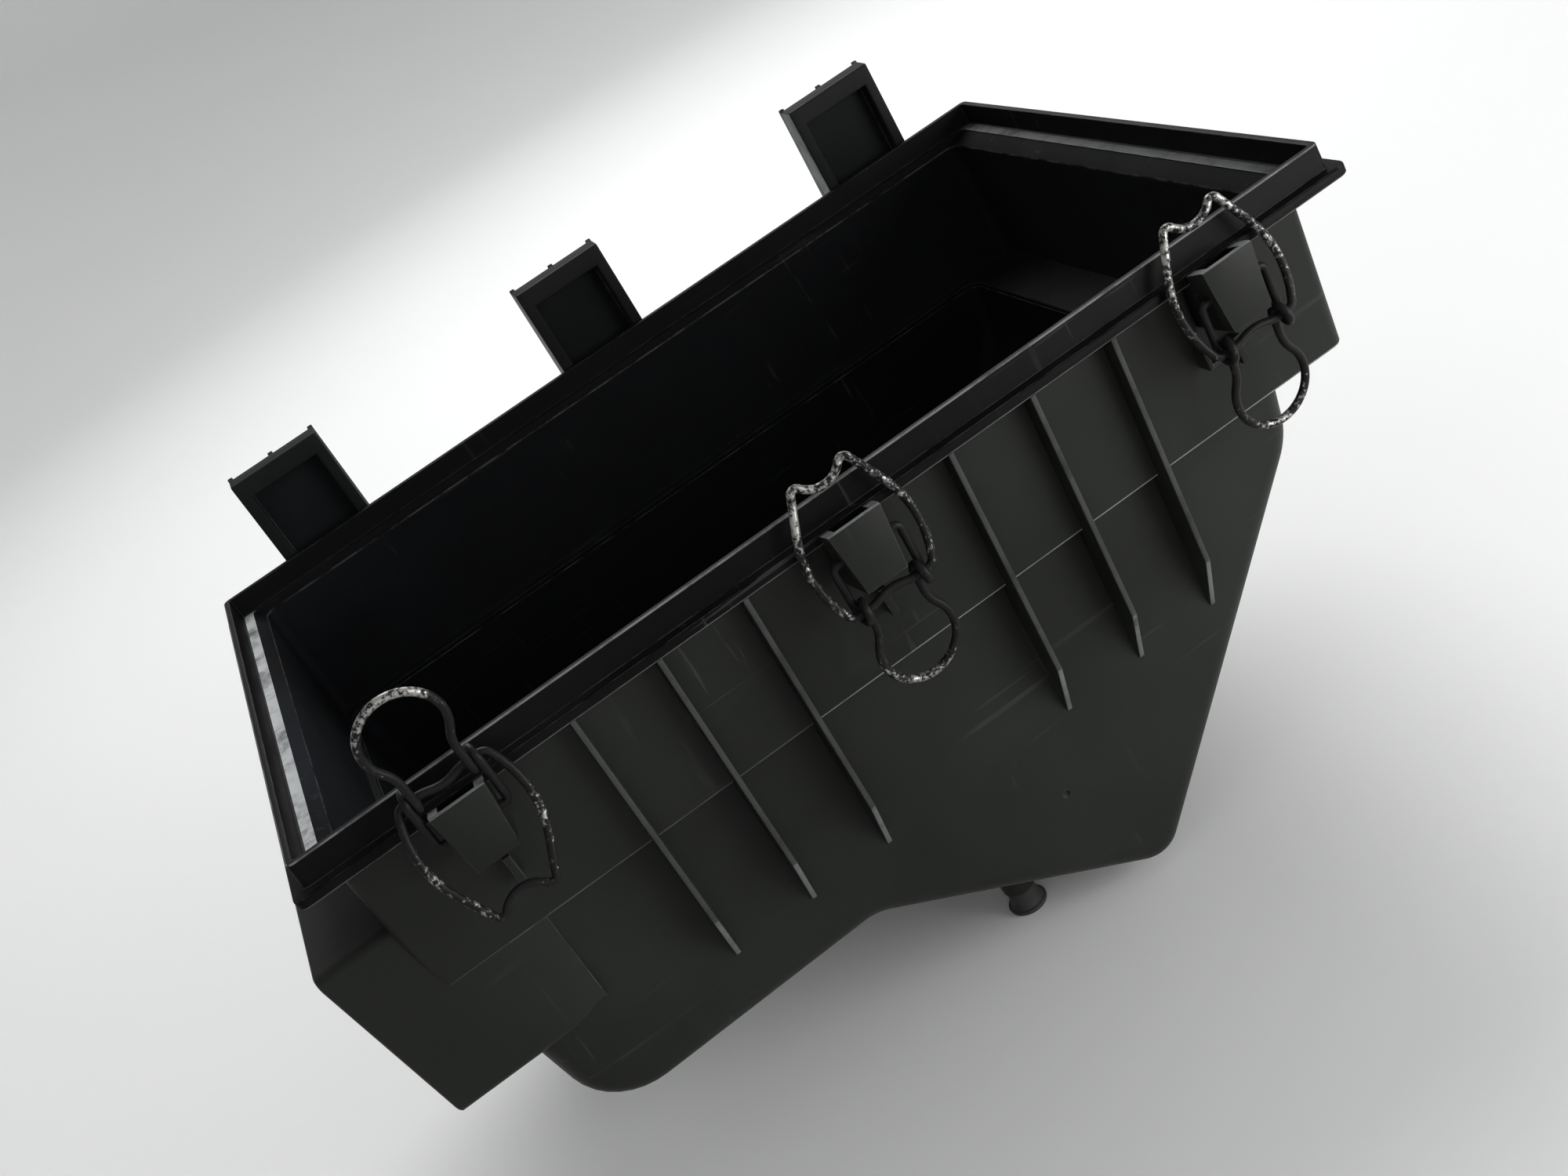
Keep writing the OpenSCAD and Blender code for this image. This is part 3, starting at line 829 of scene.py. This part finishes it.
def make_tube(line, closed, name, body, material, hub, rub_range):
    """Round wire along a line of points in millimetres about the mouth. Its rub
    attribute, for the finish, grows over a range of distances from the hub."""
    near, far = rub_range
    curve = bpy.data.curves.new(name, "CURVE")
    curve.dimensions = "3D"
    curve.bevel_depth = sizes().wire / 2
    curve.bevel_resolution = 6
    curve.use_fill_caps = not closed
    spline = curve.splines.new("POLY")
    spline.points.add(len(line) - 1)
    for point, p in zip(spline.points, line):
        point.co = (*(MOUTH + p * MM), 1)
    spline.use_cyclic_u = closed
    maker = bpy.data.objects.new(name + "_line", curve)
    mesh = bpy.data.meshes.new_from_object(maker)
    mesh.name = name
    bpy.data.objects.remove(maker)
    bpy.data.curves.remove(curve)
    bm = bmesh.new()
    bm.from_mesh(mesh)
    bmesh.ops.remove_doubles(bm, verts=bm.verts, dist=1e-6)
    bmesh.ops.recalc_face_normals(bm, faces=bm.faces)
    bm.to_mesh(mesh)
    bm.free()
    smooth(mesh, 50)
    mesh.materials.clear()
    mesh.materials.append(material)
    brightening = mesh.attributes.new("brightening", "FLOAT", "POINT")
    for value, v in zip(brightening.data, mesh.vertices):
        away = ((v.co - MOUTH) / MM - hub).length
        value.value = max(0.0, min(1.0, (away - near) / (far - near)))
    piece = add_object(name, mesh)
    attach(piece, body)
    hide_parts(body)
    return piece


def lever_line():
    """A lever hanging from its pivot at the origin, from one pin's end to the other."""
    waist_low = LEVER_REACH - BULB_R - (BULB_R + FLARE_R) * sin(radians(FLARE_A))
    flat = [Vector((0, -LEVER_REACH))] + trail(
        [(BULB_R, 90 + FLARE_A), (FLARE_R, -FLARE_A), (waist_low - EYE_REACH,)], (0, -LEVER_REACH), 0
    )
    half = [Vector((p.x, 0, p.y)) for p in flat]
    turns = 36
    for k in range(1, turns + 1):
        b = 2 * pi * k / turns
        half.append(Vector((
            WAIST_X + COIL_SHIFT * k / turns, COIL_R * (cos(b) - 1), COIL_R * sin(b) - EYE_REACH,
        )))
    link_x = WAIST_X + COIL_SHIFT
    link = trail(
        [(EYE_REACH - LINK_BEND,), (LINK_BEND, 90), (link_x - LINK_BEND - PIN_END,)],
        (link_x, -EYE_REACH), 90,
    )
    half += [Vector((p.x, 0, p.y)) for p in link]
    return [Vector((-p.x, p.y, p.z)) for p in reversed(half[1:])] + half


def bail_line():
    """A bail standing on its axle at the origin, as a closed line."""
    dip, axle_r, axle_end = 18, 16, 14
    elbow_r, elbow_a, bow_r, bow_a, shank, horn_r, bar_a = 3.5, 65, 38, 50, 13.4, 2.2, 50
    bar_x = (
        axle_end + elbow_r * sin(radians(elbow_a)) + shank * cos(radians(elbow_a + bow_a))
        + horn_r * (sin(radians(180 + bar_a)) - sin(radians(elbow_a + bow_a)))
    )
    rise = 2 * axle_r * (1 - cos(radians(dip)))
    flat = [Vector((0, rise))] + trail([
        (axle_r, -dip), (axle_r, dip), (axle_end - 2 * axle_r * sin(radians(dip)),),
        (elbow_r, elbow_a), (bow_r, bow_a), (shank,),
        (horn_r, 180 + bar_a - elbow_a - bow_a), (bar_x / sin(radians(bar_a)), -bar_a),
    ], (0, rise), 0)
    half = [Vector((p.x, 0, p.y)) for p in flat]
    return half + [Vector((-p.x, p.y, p.z)) for p in reversed(half[1:-1])]


def make_lever(side):
    """Bends one lever and turns it to where its pivot and eyelet stand."""
    body = f"lever_{side}"
    pivot = (Vector(joint_of(body)["pos_m"]) - MOUTH) / MM
    turn = Matrix.Rotation(-lean_of(body), 3, "X")
    line = [pivot + turn @ p for p in lever_line()]
    return make_tube(line, False, f"{body}_wire", body, lever_wire(), pivot, LEVER_RUB)


def make_bail(side):
    """Bends one bail and stands it on its lever's eyelets."""
    body = f"bail_{side}"
    eye = (Vector(joint_of(body)["pos_m"]) - MOUTH) / MM
    middle = local_middle(body) - eye
    upright = Matrix.Rotation(atan2(middle.z, middle.y) - pi / 2, 3, "X")
    line = [eye + upright @ p for p in bail_line()]
    return make_tube(line, True, f"{body}_wire", body, bail_wire(side), eye, BAIL_RUB)


def lean_of(body):
    """Swing of a lever from hanging straight down, worked out from its eyelet's place."""
    pivot = Vector(joint_of(body)["pos_m"])
    eye = Vector(joint_of(body.replace("lever", "bail"))["pos_m"])
    arm = (eye - pivot) / MM
    return atan2(-arm.y, -arm.z) - atan2(COIL_R, EYE_REACH)


# ---------------------------------------------------------------- finishes


class Nodes:
    """Short way to place and join shader nodes in one tree."""

    def __init__(self, tree):
        self.tree = tree

    def add(self, kind, settings=None, **inputs):
        node = self.tree.nodes.new(kind)
        for key, value in (settings or {}).items():
            setattr(node, key, value)
        for key, value in inputs.items():
            self.feed(node, key.replace("_", " "), value)
        return node

    def feed(self, node, key, value):
        socket = node.inputs[int(key)] if key.isdigit() else node.inputs[key]
        if isinstance(value, bpy.types.NodeSocket):
            self.tree.links.new(value, socket)
        else:
            socket.default_value = value

    def math(self, operation, a, b=0.5, clamp=False):
        node = self.add("ShaderNodeMath", {"operation": operation, "use_clamp": clamp})
        self.feed(node, "0", a)
        self.feed(node, "1", b)
        return node.outputs[0]

    def mix(self, factor, a, b):
        node = self.add("ShaderNodeMix", {"data_type": "RGBA"})
        self.feed(node, "Factor", factor)
        self.feed(node, "6", a)
        self.feed(node, "7", b)
        return node.outputs[2]

    def noise(self, where, scale, detail=4.0, rough=0.55):
        node = self.add("ShaderNodeTexNoise", Scale=scale, Detail=detail, Roughness=rough)
        self.feed(node, "Vector", where)
        return node.outputs["Fac"]

    def band(self, value, low, high, to_low=0.0, to_high=1.0):
        node = self.add("ShaderNodeMapRange", {"interpolation_type": "SMOOTHSTEP"})
        keys = ("Value", "From Min", "From Max", "To Min", "To Max")
        for key, given in zip(keys, (value, low, high, to_low, to_high)):
            self.feed(node, key, given)
        return node.outputs["Result"]


def make_group(name, inputs, outputs, build):
    """The shader node group of that name, built the first time that it is asked for."""
    known = bpy.data.node_groups.get(name)
    if known:
        return known
    tree = bpy.data.node_groups.new(name, "ShaderNodeTree")
    for label, kind, default in inputs:
        socket = tree.interface.new_socket(label, in_out="INPUT", socket_type=kind)
        socket.default_value = default
    for label, kind in outputs:
        tree.interface.new_socket(label, in_out="OUTPUT", socket_type=kind)
    nodes = Nodes(tree)
    source = nodes.add("NodeGroupInput")
    sink = nodes.add("NodeGroupOutput")
    for label, value in build(nodes, source.outputs).items():
        nodes.feed(sink, label, value)
    return tree


def edge_wear_and_highlight_group():
    """Mask of edges and corners, for rubbed wear and a painted edge highlight, broken up by noise."""

    def build(n, given):
        where = n.add("ShaderNodeTexCoord").outputs["Object"]
        plain = n.add("ShaderNodeNewGeometry").outputs["Normal"]
        rounded = n.add("ShaderNodeBevel", {"samples": 6}, Radius=given["Width"]).outputs["Normal"]
        dot = n.add("ShaderNodeVectorMath", {"operation": "DOT_PRODUCT"})
        n.feed(dot, "0", plain)
        n.feed(dot, "1", rounded)
        edge = n.math("SUBTRACT", 1.0, dot.outputs["Value"], clamp=True)
        broken = n.noise(where, 90.0, 6.0, 0.7)
        mask = n.math("MULTIPLY", n.band(edge, 0.04, 0.30), n.band(broken, 0.36, 0.62))
        return {"Mask": n.math("MULTIPLY", mask, given["Amount"], clamp=True)}

    return make_group(
        "edge_wear_and_highlight", [("Width", "NodeSocketFloat", 0.001), ("Amount", "NodeSocketFloat", 1.0)],
        [("Mask", "NodeSocketFloat")], build,
    )


def dust_group():
    """Mask of dust: patchy everywhere, thicker on faces that look up."""

    def build(n, given):
        where = n.add("ShaderNodeTexCoord").outputs["Object"]
        normal = n.add("ShaderNodeNewGeometry").outputs["Normal"]
        up = n.add("ShaderNodeSeparateXYZ", Vector=normal).outputs["Z"]
        patches = n.band(n.noise(where, 14.0, 6.0, 0.62), 0.42, 0.74)
        specks = n.band(n.noise(where, 420.0, 3.0, 0.6), 0.60, 0.74)
        level = n.math("MULTIPLY", n.band(up, 0.2, 0.95), given["On Flats"])
        film = n.math("MULTIPLY", patches, given["Film"])
        grit = n.math("MULTIPLY", specks, n.math("ADD", film, n.math("MULTIPLY", level, 0.5)))
        lying = n.math("MULTIPLY", level, n.band(patches, 0.0, 0.6, 0.45, 1.0))
        total = n.math("ADD", film, n.math("ADD", lying, grit))
        return {"Mask": n.math("MINIMUM", total, 1.0)}

    return make_group(
        "settled_dust", [("Film", "NodeSocketFloat", 0.1), ("On Flats", "NodeSocketFloat", 0.3)],
        [("Mask", "NodeSocketFloat")], build,
    )


def scratch_group():
    """Mask of long fine scratches in two directions."""

    def build(n, given):
        where = n.add("ShaderNodeTexCoord").outputs["Object"]
        total = None
        for turn, stretch in ((0.5, (260.0, 260.0, 9.0)), (-0.9, (11.0, 330.0, 330.0))):
            bent = n.add("ShaderNodeMapping", Vector=where)
            bent.inputs["Rotation"].default_value = (turn, 0.4 * turn, 0.7 * turn)
            bent.inputs["Scale"].default_value = stretch
            line = n.band(n.noise(bent.outputs["Vector"], 1.0, 2.0, 0.5), 0.66, 0.72)
            total = line if total is None else n.math("MAXIMUM", total, line)
        worn = n.band(n.noise(where, 9.0, 3.0, 0.6), 0.48, 0.66)
        return {"Mask": n.math("MULTIPLY", n.math("MULTIPLY", total, worn), given["Amount"], clamp=True)}

    return make_group(
        "fine_scratches", [("Amount", "NodeSocketFloat", 0.5)], [("Mask", "NodeSocketFloat")], build,
    )


def grain_group():
    """Height of a moulded skin: spark-eroded grain over a slow sink-mark waviness."""

    def build(n, given):
        where = n.add("ShaderNodeTexCoord").outputs["Object"]
        fine = n.noise(where, 2600.0, 2.0, 0.5)
        coarse = n.noise(where, 700.0, 3.0, 0.6)
        slow = n.noise(where, 26.0, 2.0, 0.4)
        grain = n.math("ADD", n.math("MULTIPLY", fine, 0.5), n.math("MULTIPLY", coarse, 0.5))
        grain = n.math("MULTIPLY", grain, given["Grain"])
        waves = n.math("MULTIPLY", slow, given["Waves"])
        return {"Height": n.math("ADD", grain, waves)}

    return make_group(
        "moulded_grain", [("Grain", "NodeSocketFloat", 1.0), ("Waves", "NodeSocketFloat", 1.0)],
        [("Height", "NodeSocketFloat")], build,
    )


def place_group(n, tree, **inputs):
    """Places a node group in a material, with its inputs."""
    node = n.add("ShaderNodeGroup", {"node_tree": tree})
    for key, value in inputs.items():
        n.feed(node, key.replace("_", " "), value)
    return node


def start_material(name):
    """A new material with its node helper and its Principled BSDF."""
    material = bpy.data.materials.new(name)
    material.use_nodes = True
    n = Nodes(material.node_tree)
    shader = material.node_tree.nodes["Principled BSDF"]
    return material, n, shader


def colour(value):
    """A colour with full opacity."""
    return (*value, 1.0)


def moulded_plastic(name, base, lighter, edge_wear_highlight_amount, film, flats, roughness, scratches, gloss):
    """Black moulded plastic with wear and painted highlights on its edges, dust and fine
    scratches. Faces marked for painted shade get a darker, bluish colour, lighter in patches towards the
    inlet, and are duller."""
    known = bpy.data.materials.get(name)
    if known:
        return known
    material, n, shader = start_material(name)
    where = n.add("ShaderNodeTexCoord").outputs["Object"]
    cloud = n.band(n.noise(where, 6.0, 5.0, 0.6), 0.3, 0.75)
    body = n.mix(cloud, colour(base), colour(lighter))
    # painted shade: marked faces get a darker, bluish colour with lighter bluish patches towards the inlet
    # end, less dust and a duller gloss
    painted_shade = n.add("ShaderNodeAttribute", {"attribute_name": "painted_shade"}).outputs["Fac"]
    along = n.add("ShaderNodeSeparateXYZ", Vector=where).outputs["X"]
    patches_towards_inlet = n.math("MULTIPLY", n.band(cloud, 0.0, 0.8), n.band(along, -0.06, -0.20, 0.12, 1.0))
    painted_shade_dark, painted_shade_patch = (0.0011, 0.0013, 0.0020, 1.0), (0.0060, 0.0080, 0.0112, 1.0)
    painted_shade_colour = n.mix(patches_towards_inlet, painted_shade_dark, painted_shade_patch)
    body = n.mix(n.math("MULTIPLY", painted_shade, 0.95), body, painted_shade_colour)
    # lighter marks: scuffs on the boss tops and ledges, and painted highlights on the step, ribs, lip,
    # flange, ledges and socket rails
    brightening = n.add("ShaderNodeAttribute", {"attribute_name": "brightening"}).outputs["Fac"]
    streaks = n.band(n.noise(where, 55.0, 6.0, 0.7), 0.30, 0.56, 0.25, 1.0)
    # edge mask: rubbed wear on edges, with a painted highlight along edges and inner corners
    edge = place_group(n, edge_wear_and_highlight_group(), Width=0.0011, Amount=edge_wear_highlight_amount).outputs["Mask"]
    dust = place_group(n, dust_group(), Film=film, On_Flats=flats).outputs["Mask"]
    dust = n.math("MULTIPLY", dust, n.math("SUBTRACT", 1.0, n.math("MULTIPLY", painted_shade, 0.9)))
    scratch = place_group(n, scratch_group(), Amount=scratches).outputs["Mask"]
    tint = n.mix(n.math("MULTIPLY", dust, 0.55), body, colour(colours().dust))
    scratched, worn_edge_highlight = (0.10, 0.105, 0.10, 1.0), (0.16, 0.16, 0.155, 1.0)
    scuff_and_highlight = (0.60, 0.62, 0.63, 1.0)
    tint = n.mix(n.math("MULTIPLY", scratch, 0.5), tint, scratched)
    tint = n.mix(edge, tint, worn_edge_highlight)
    tint = n.mix(n.math("MULTIPLY", brightening, streaks), tint, scuff_and_highlight)
    n.feed(shader, "Base Color", tint)
    rough = n.math("ADD", roughness, n.math("MULTIPLY", n.noise(where, 60.0, 5.0, 0.6), 0.16))
    rough = n.math("ADD", rough, n.math("MULTIPLY", dust, 0.28))
    rough = n.math("ADD", rough, n.math("MULTIPLY", painted_shade, 0.3), clamp=True)
    n.feed(shader, "Roughness", rough)
    shader.inputs["Specular IOR Level"].default_value = gloss
    grain = place_group(n, grain_group(), Grain=0.00006, Waves=0.0009).outputs["Height"]
    cut = n.math("SUBTRACT", grain, n.math("MULTIPLY", scratch, 0.00004))
    bump = n.add("ShaderNodeBump", Strength=0.55, Distance=1.0)
    n.feed(bump, "Height", cut)
    n.feed(shader, "Normal", bump.outputs["Normal"])
    return material


def black_plastic():
    """Finish of the walls, ribs, sockets, bosses and posts."""
    c = colours()
    return moulded_plastic(
        "black_plastic_moulded", c.plastic, [v * 1.5 for v in c.plastic], edge_wear_highlight_amount=0.7, film=0.10,
        flats=0.22, roughness=0.38, scratches=0.3, gloss=0.11,
    )


def rim_plastic():
    """Finish of the lip and flange: darker and duller than the walls."""
    c = colours()
    return moulded_plastic(
        "rim_plastic_moulded", c.rim, [v * 1.35 for v in c.rim], edge_wear_highlight_amount=1.0, film=0.07,
        flats=0.26, roughness=0.38, scratches=0.35, gloss=0.05,
    )


def rubber():
    """Matt black rubber with a film of dust."""
    known = bpy.data.materials.get("rubber_matt")
    if known:
        return known
    material, n, shader = start_material("rubber_matt")
    where = n.add("ShaderNodeTexCoord").outputs["Object"]
    dust = place_group(n, dust_group(), Film=0.16, On_Flats=0.3).outputs["Mask"]
    cloud = n.noise(where, 120.0, 5.0, 0.65)
    body = n.mix(cloud, (0.010, 0.010, 0.010, 1.0), (0.022, 0.022, 0.021, 1.0))
    n.feed(shader, "Base Color", n.mix(n.math("MULTIPLY", dust, 0.5), body, colour(colours().dust)))
    n.feed(shader, "Roughness", n.band(cloud, 0.2, 0.8, 0.68, 0.88))
    bump = n.add("ShaderNodeBump", Strength=0.5, Distance=0.00012)
    n.feed(bump, "Height", n.noise(where, 900.0, 4.0, 0.6))
    n.feed(shader, "Normal", bump.outputs["Normal"])
    return material


def latch_wire(name, bare, rust):
    """Blackened steel wire, rubbed bright in patches, with rust in the pits."""
    known = bpy.data.materials.get(name)
    if known:
        return known
    material, n, shader = start_material(name)
    where = n.add("ShaderNodeTexCoord").outputs["Object"]
    blotch = n.noise(where, 46.0, 6.0, 0.66)
    flecks = n.noise(where, 620.0, 5.0, 0.68)
    brightening = n.add("ShaderNodeAttribute", {"attribute_name": "brightening"}).outputs["Fac"]
    worn = n.math("ADD", n.math("MULTIPLY", blotch, 0.42), n.math("MULTIPLY", flecks, 0.58))
    worn = n.math("ADD", worn, n.math("MULTIPLY", n.math("SUBTRACT", brightening, 1.0), 0.13))
    rubbed = n.band(worn, 0.50 - bare, 0.59 - bare)
    pits = n.band(n.noise(where, 210.0, 6.0, 0.7), 0.64 - rust, 0.76 - rust)
    c = colours()
    body = n.mix(rubbed, colour(c.black), colour(c.steel))
    shade = n.mix(n.math("MULTIPLY", flecks, 0.12), body, (0.06, 0.058, 0.054, 1.0))
    rusty = n.math("MULTIPLY", pits, 0.8)
    n.feed(shader, "Base Color", n.mix(rusty, shade, colour(c.rust)))
    metal = n.math("MULTIPLY", rubbed, n.math("SUBTRACT", 1.0, rusty), clamp=True)
    n.feed(shader, "Metallic", n.math("MULTIPLY", metal, 0.7))
    shader.inputs["Specular IOR Level"].default_value = 0.09
    n.feed(shader, "Roughness", n.math("SUBTRACT", 0.40, n.math("MULTIPLY", metal, 0.04), clamp=True))
    height = n.math("ADD", n.math("MULTIPLY", rubbed, -0.00004), n.math("MULTIPLY", flecks, 0.00009))
    bump = n.add("ShaderNodeBump", Strength=0.8, Distance=1.0)
    n.feed(bump, "Height", height)
    n.feed(shader, "Normal", bump.outputs["Normal"])
    return material


def lever_wire():
    """Finish of the levers: rubbed bright round the bulb."""
    return latch_wire("lever_wire_worn", 0.03, 0.02)


def bail_wire(side):
    """The left bail lies against the wall and has kept most of its coating."""
    if side == "left":
        return latch_wire("bail_wire_dull", -0.03, 0.0)
    return latch_wire("bail_wire_worn", 0.025, 0.0)


# ---------------------------------------------------------------- studio


def sheet_material(name, shade):
    """Even, dull finish for the studio floor."""
    material, n, shader = start_material(name)
    where = n.add("ShaderNodeTexCoord").outputs["Object"]
    low = tuple(v * 0.97 for v in shade)
    n.feed(shader, "Base Color", n.mix(n.noise(where, 3.0, 3.0), colour(low), colour(shade)))
    shader.inputs["Roughness"].default_value = 0.75
    return material


def make_stage():
    """Pale floor that turns up into a backdrop all round, so no edge shows in any view."""
    flat_r, cove_r, wall_top = 2.2, 0.9, 4.0
    bm = bmesh.new()
    floor_z = CAD_BOX[0][2]
    profile = [(0.0, 0.0), (flat_r, 0.0)]
    profile += [
        (flat_r + cove_r * sin(radians(a)), cove_r * (1 - cos(radians(a)))) for a in range(6, 91, 6)
    ]
    profile += [(flat_r + cove_r, wall_top)]
    verts = [bm.verts.new((r, 0, floor_z + z)) for r, z in profile]
    edges = [bm.edges.new(pair) for pair in zip(verts, verts[1:])]
    bmesh.ops.spin(
        bm, geom=verts + edges, cent=(0, 0, 0), axis=(0, 0, 1), angle=2 * pi,
        steps=96, use_merge=True,
    )
    bmesh.ops.remove_doubles(bm, verts=bm.verts, dist=1e-5)
    bmesh.ops.recalc_face_normals(bm, faces=bm.faces)
    bmesh.ops.reverse_faces(bm, faces=bm.faces)
    mesh = bpy.data.meshes.new("studio_floor")
    bm.to_mesh(mesh)
    bm.free()
    smooth(mesh, 60)
    mesh.materials.append(sheet_material("pale_floor", (0.86, 0.86, 0.86)))
    floor = add_object("studio_floor", mesh)


def make_lights():
    """Three soft lamps and an even pale world."""
    lights = (  # name, place, size, watts
        ("key", (0.85, -0.85, 0.16), 0.9, 17.0),
        ("top", (0.5, 1.3, 1.6), 1.4, 30.0),
        ("fill", (-0.4, -1.8, 0.7), 1.2, 3.0),
    )
    aim = Vector((0, 0, 0.12))
    for name, place, size, watts in lights:
        lamp = bpy.data.lights.new(name, "AREA")
        lamp.shape = "DISK"
        lamp.size = size
        lamp.energy = watts
        light = add_object(name, lamp)
        light.location = place
        light.visible_camera = False
        light.rotation_euler = (aim - Vector(place)).to_track_quat("-Z", "Y").to_euler()
    world = bpy.data.worlds.new("soft_studio")
    world.use_nodes = True
    backdrop = world.node_tree.nodes["Background"]
    backdrop.inputs["Color"].default_value = (0.98, 0.99, 1.0, 1.0)
    backdrop.inputs["Strength"].default_value = 0.38
    bpy.context.scene.world = world
    bpy.context.scene.view_settings.view_transform = "Standard"


def make_camera():
    """Camera looking down into the mouth from the latch side, turned on its axis."""
    lens = bpy.data.cameras.new("camera")
    lens.sensor_width = 36.0
    lens.lens = 41.45
    lens.shift_x = 0.004
    lens.shift_y = 0.005
    lens.clip_end = 20.0
    camera = add_object("camera", lens)
    place = MOUTH + Vector((-104.6, -672.9, 238.7)) * MM
    right = Vector((0.809, -0.344, -0.476)).normalized()
    back = -Vector((0.122, 0.892, -0.436)).normalized()
    up = back.cross(right).normalized()
    right = up.cross(back).normalized()
    turned = Matrix((right, up, back)).transposed().to_4x4()
    camera.matrix_world = Matrix.Translation(place) @ turned
    bpy.context.scene.camera = camera


# ---------------------------------------------------------------- operators


class FILTERBOX_OT_rim(bpy.types.Operator):
    """Build the flange, the lip and the ledge inside it"""

    bl_idname = "filterbox.rim"
    bl_label = "Mouth Rim"
    bl_options = {"REGISTER", "UNDO"}

    def execute(self, context):
        make_rim()
        return {"FINISHED"}


class FILTERBOX_OT_shell(bpy.types.Operator):
    """Build the box walls, the hopper, the inlet snout and the front ribs"""

    bl_idname = "filterbox.shell"
    bl_label = "Box, Hopper and Snout"
    bl_options = {"REGISTER", "UNDO"}

    def execute(self, context):
        make_box()
        make_hopper()
        make_snout()
        make_ribs()
        return {"FINISHED"}


class FILTERBOX_OT_sockets(bpy.types.Operator):
    """Build the three hinge sockets on the back flange"""

    bl_idname = "filterbox.sockets"
    bl_label = "Hinge Sockets"
    bl_options = {"REGISTER", "UNDO"}

    def execute(self, context):
        for side in SIDES:
            make_socket(side)
        return {"FINISHED"}


class FILTERBOX_OT_latches(bpy.types.Operator):
    """Build the latch bosses and bend the levers and bails"""

    bl_idname = "filterbox.latches"
    bl_label = "Latches"
    bl_options = {"REGISTER", "UNDO"}

    def execute(self, context):
        for side in SIDES:
            make_boss(side)
            make_lever(side)
            make_bail(side)
        return {"FINISHED"}


class FILTERBOX_OT_feet(bpy.types.Operator):
    """Build the foot posts and their rubber feet"""

    bl_idname = "filterbox.feet"
    bl_label = "Feet"
    bl_options = {"REGISTER", "UNDO"}

    def execute(self, context):
        for place in FEET:
            make_post(place)
            make_foot(place)
        return {"FINISHED"}


class FILTERBOX_OT_studio(bpy.types.Operator):
    """Set up the floor, the lights and the camera"""

    bl_idname = "filterbox.studio"
    bl_label = "Studio"
    bl_options = {"REGISTER", "UNDO"}

    def execute(self, context):
        make_stage()
        make_lights()
        make_camera()
        return {"FINISHED"}


class FILTERBOX_PT_sidebar(bpy.types.Panel):
    """Sizes, colours and build steps of the filter housing"""

    bl_label = "Filter Box"
    bl_idname = "FILTERBOX_PT_sidebar"
    bl_space_type = "VIEW_3D"
    bl_region_type = "UI"
    bl_category = "Filter Box"

    def draw(self, context):
        for group in (context.scene.filter_box_sizes, context.scene.filter_box_colours):
            column = self.layout.column()
            for key in group.__annotations__:
                column.prop(group, key)
        for step in STEPS:
            self.layout.operator(step.bl_idname)


STEPS = (
    FILTERBOX_OT_studio, FILTERBOX_OT_rim, FILTERBOX_OT_shell, FILTERBOX_OT_sockets,
    FILTERBOX_OT_latches, FILTERBOX_OT_feet,
)
CLASSES = (FilterBoxSizes, FilterBoxColours, *STEPS, FILTERBOX_PT_sidebar)


def register():
    """Registers the classes and the scene's settings."""
    for cls in CLASSES:
        bpy.utils.register_class(cls)
    bpy.types.Scene.filter_box_sizes = PointerProperty(type=FilterBoxSizes)
    bpy.types.Scene.filter_box_colours = PointerProperty(type=FilterBoxColours)


def unregister():
    """Takes the settings and the classes away again."""
    del bpy.types.Scene.filter_box_colours
    del bpy.types.Scene.filter_box_sizes
    for cls in reversed(CLASSES):
        bpy.utils.unregister_class(cls)


def main():
    register()
    for step in STEPS:
        area, name = step.bl_idname.split(".")
        getattr(getattr(bpy.ops, area), name)()
    bpy.context.view_layer.update()


if __name__ == "__main__":
    main()
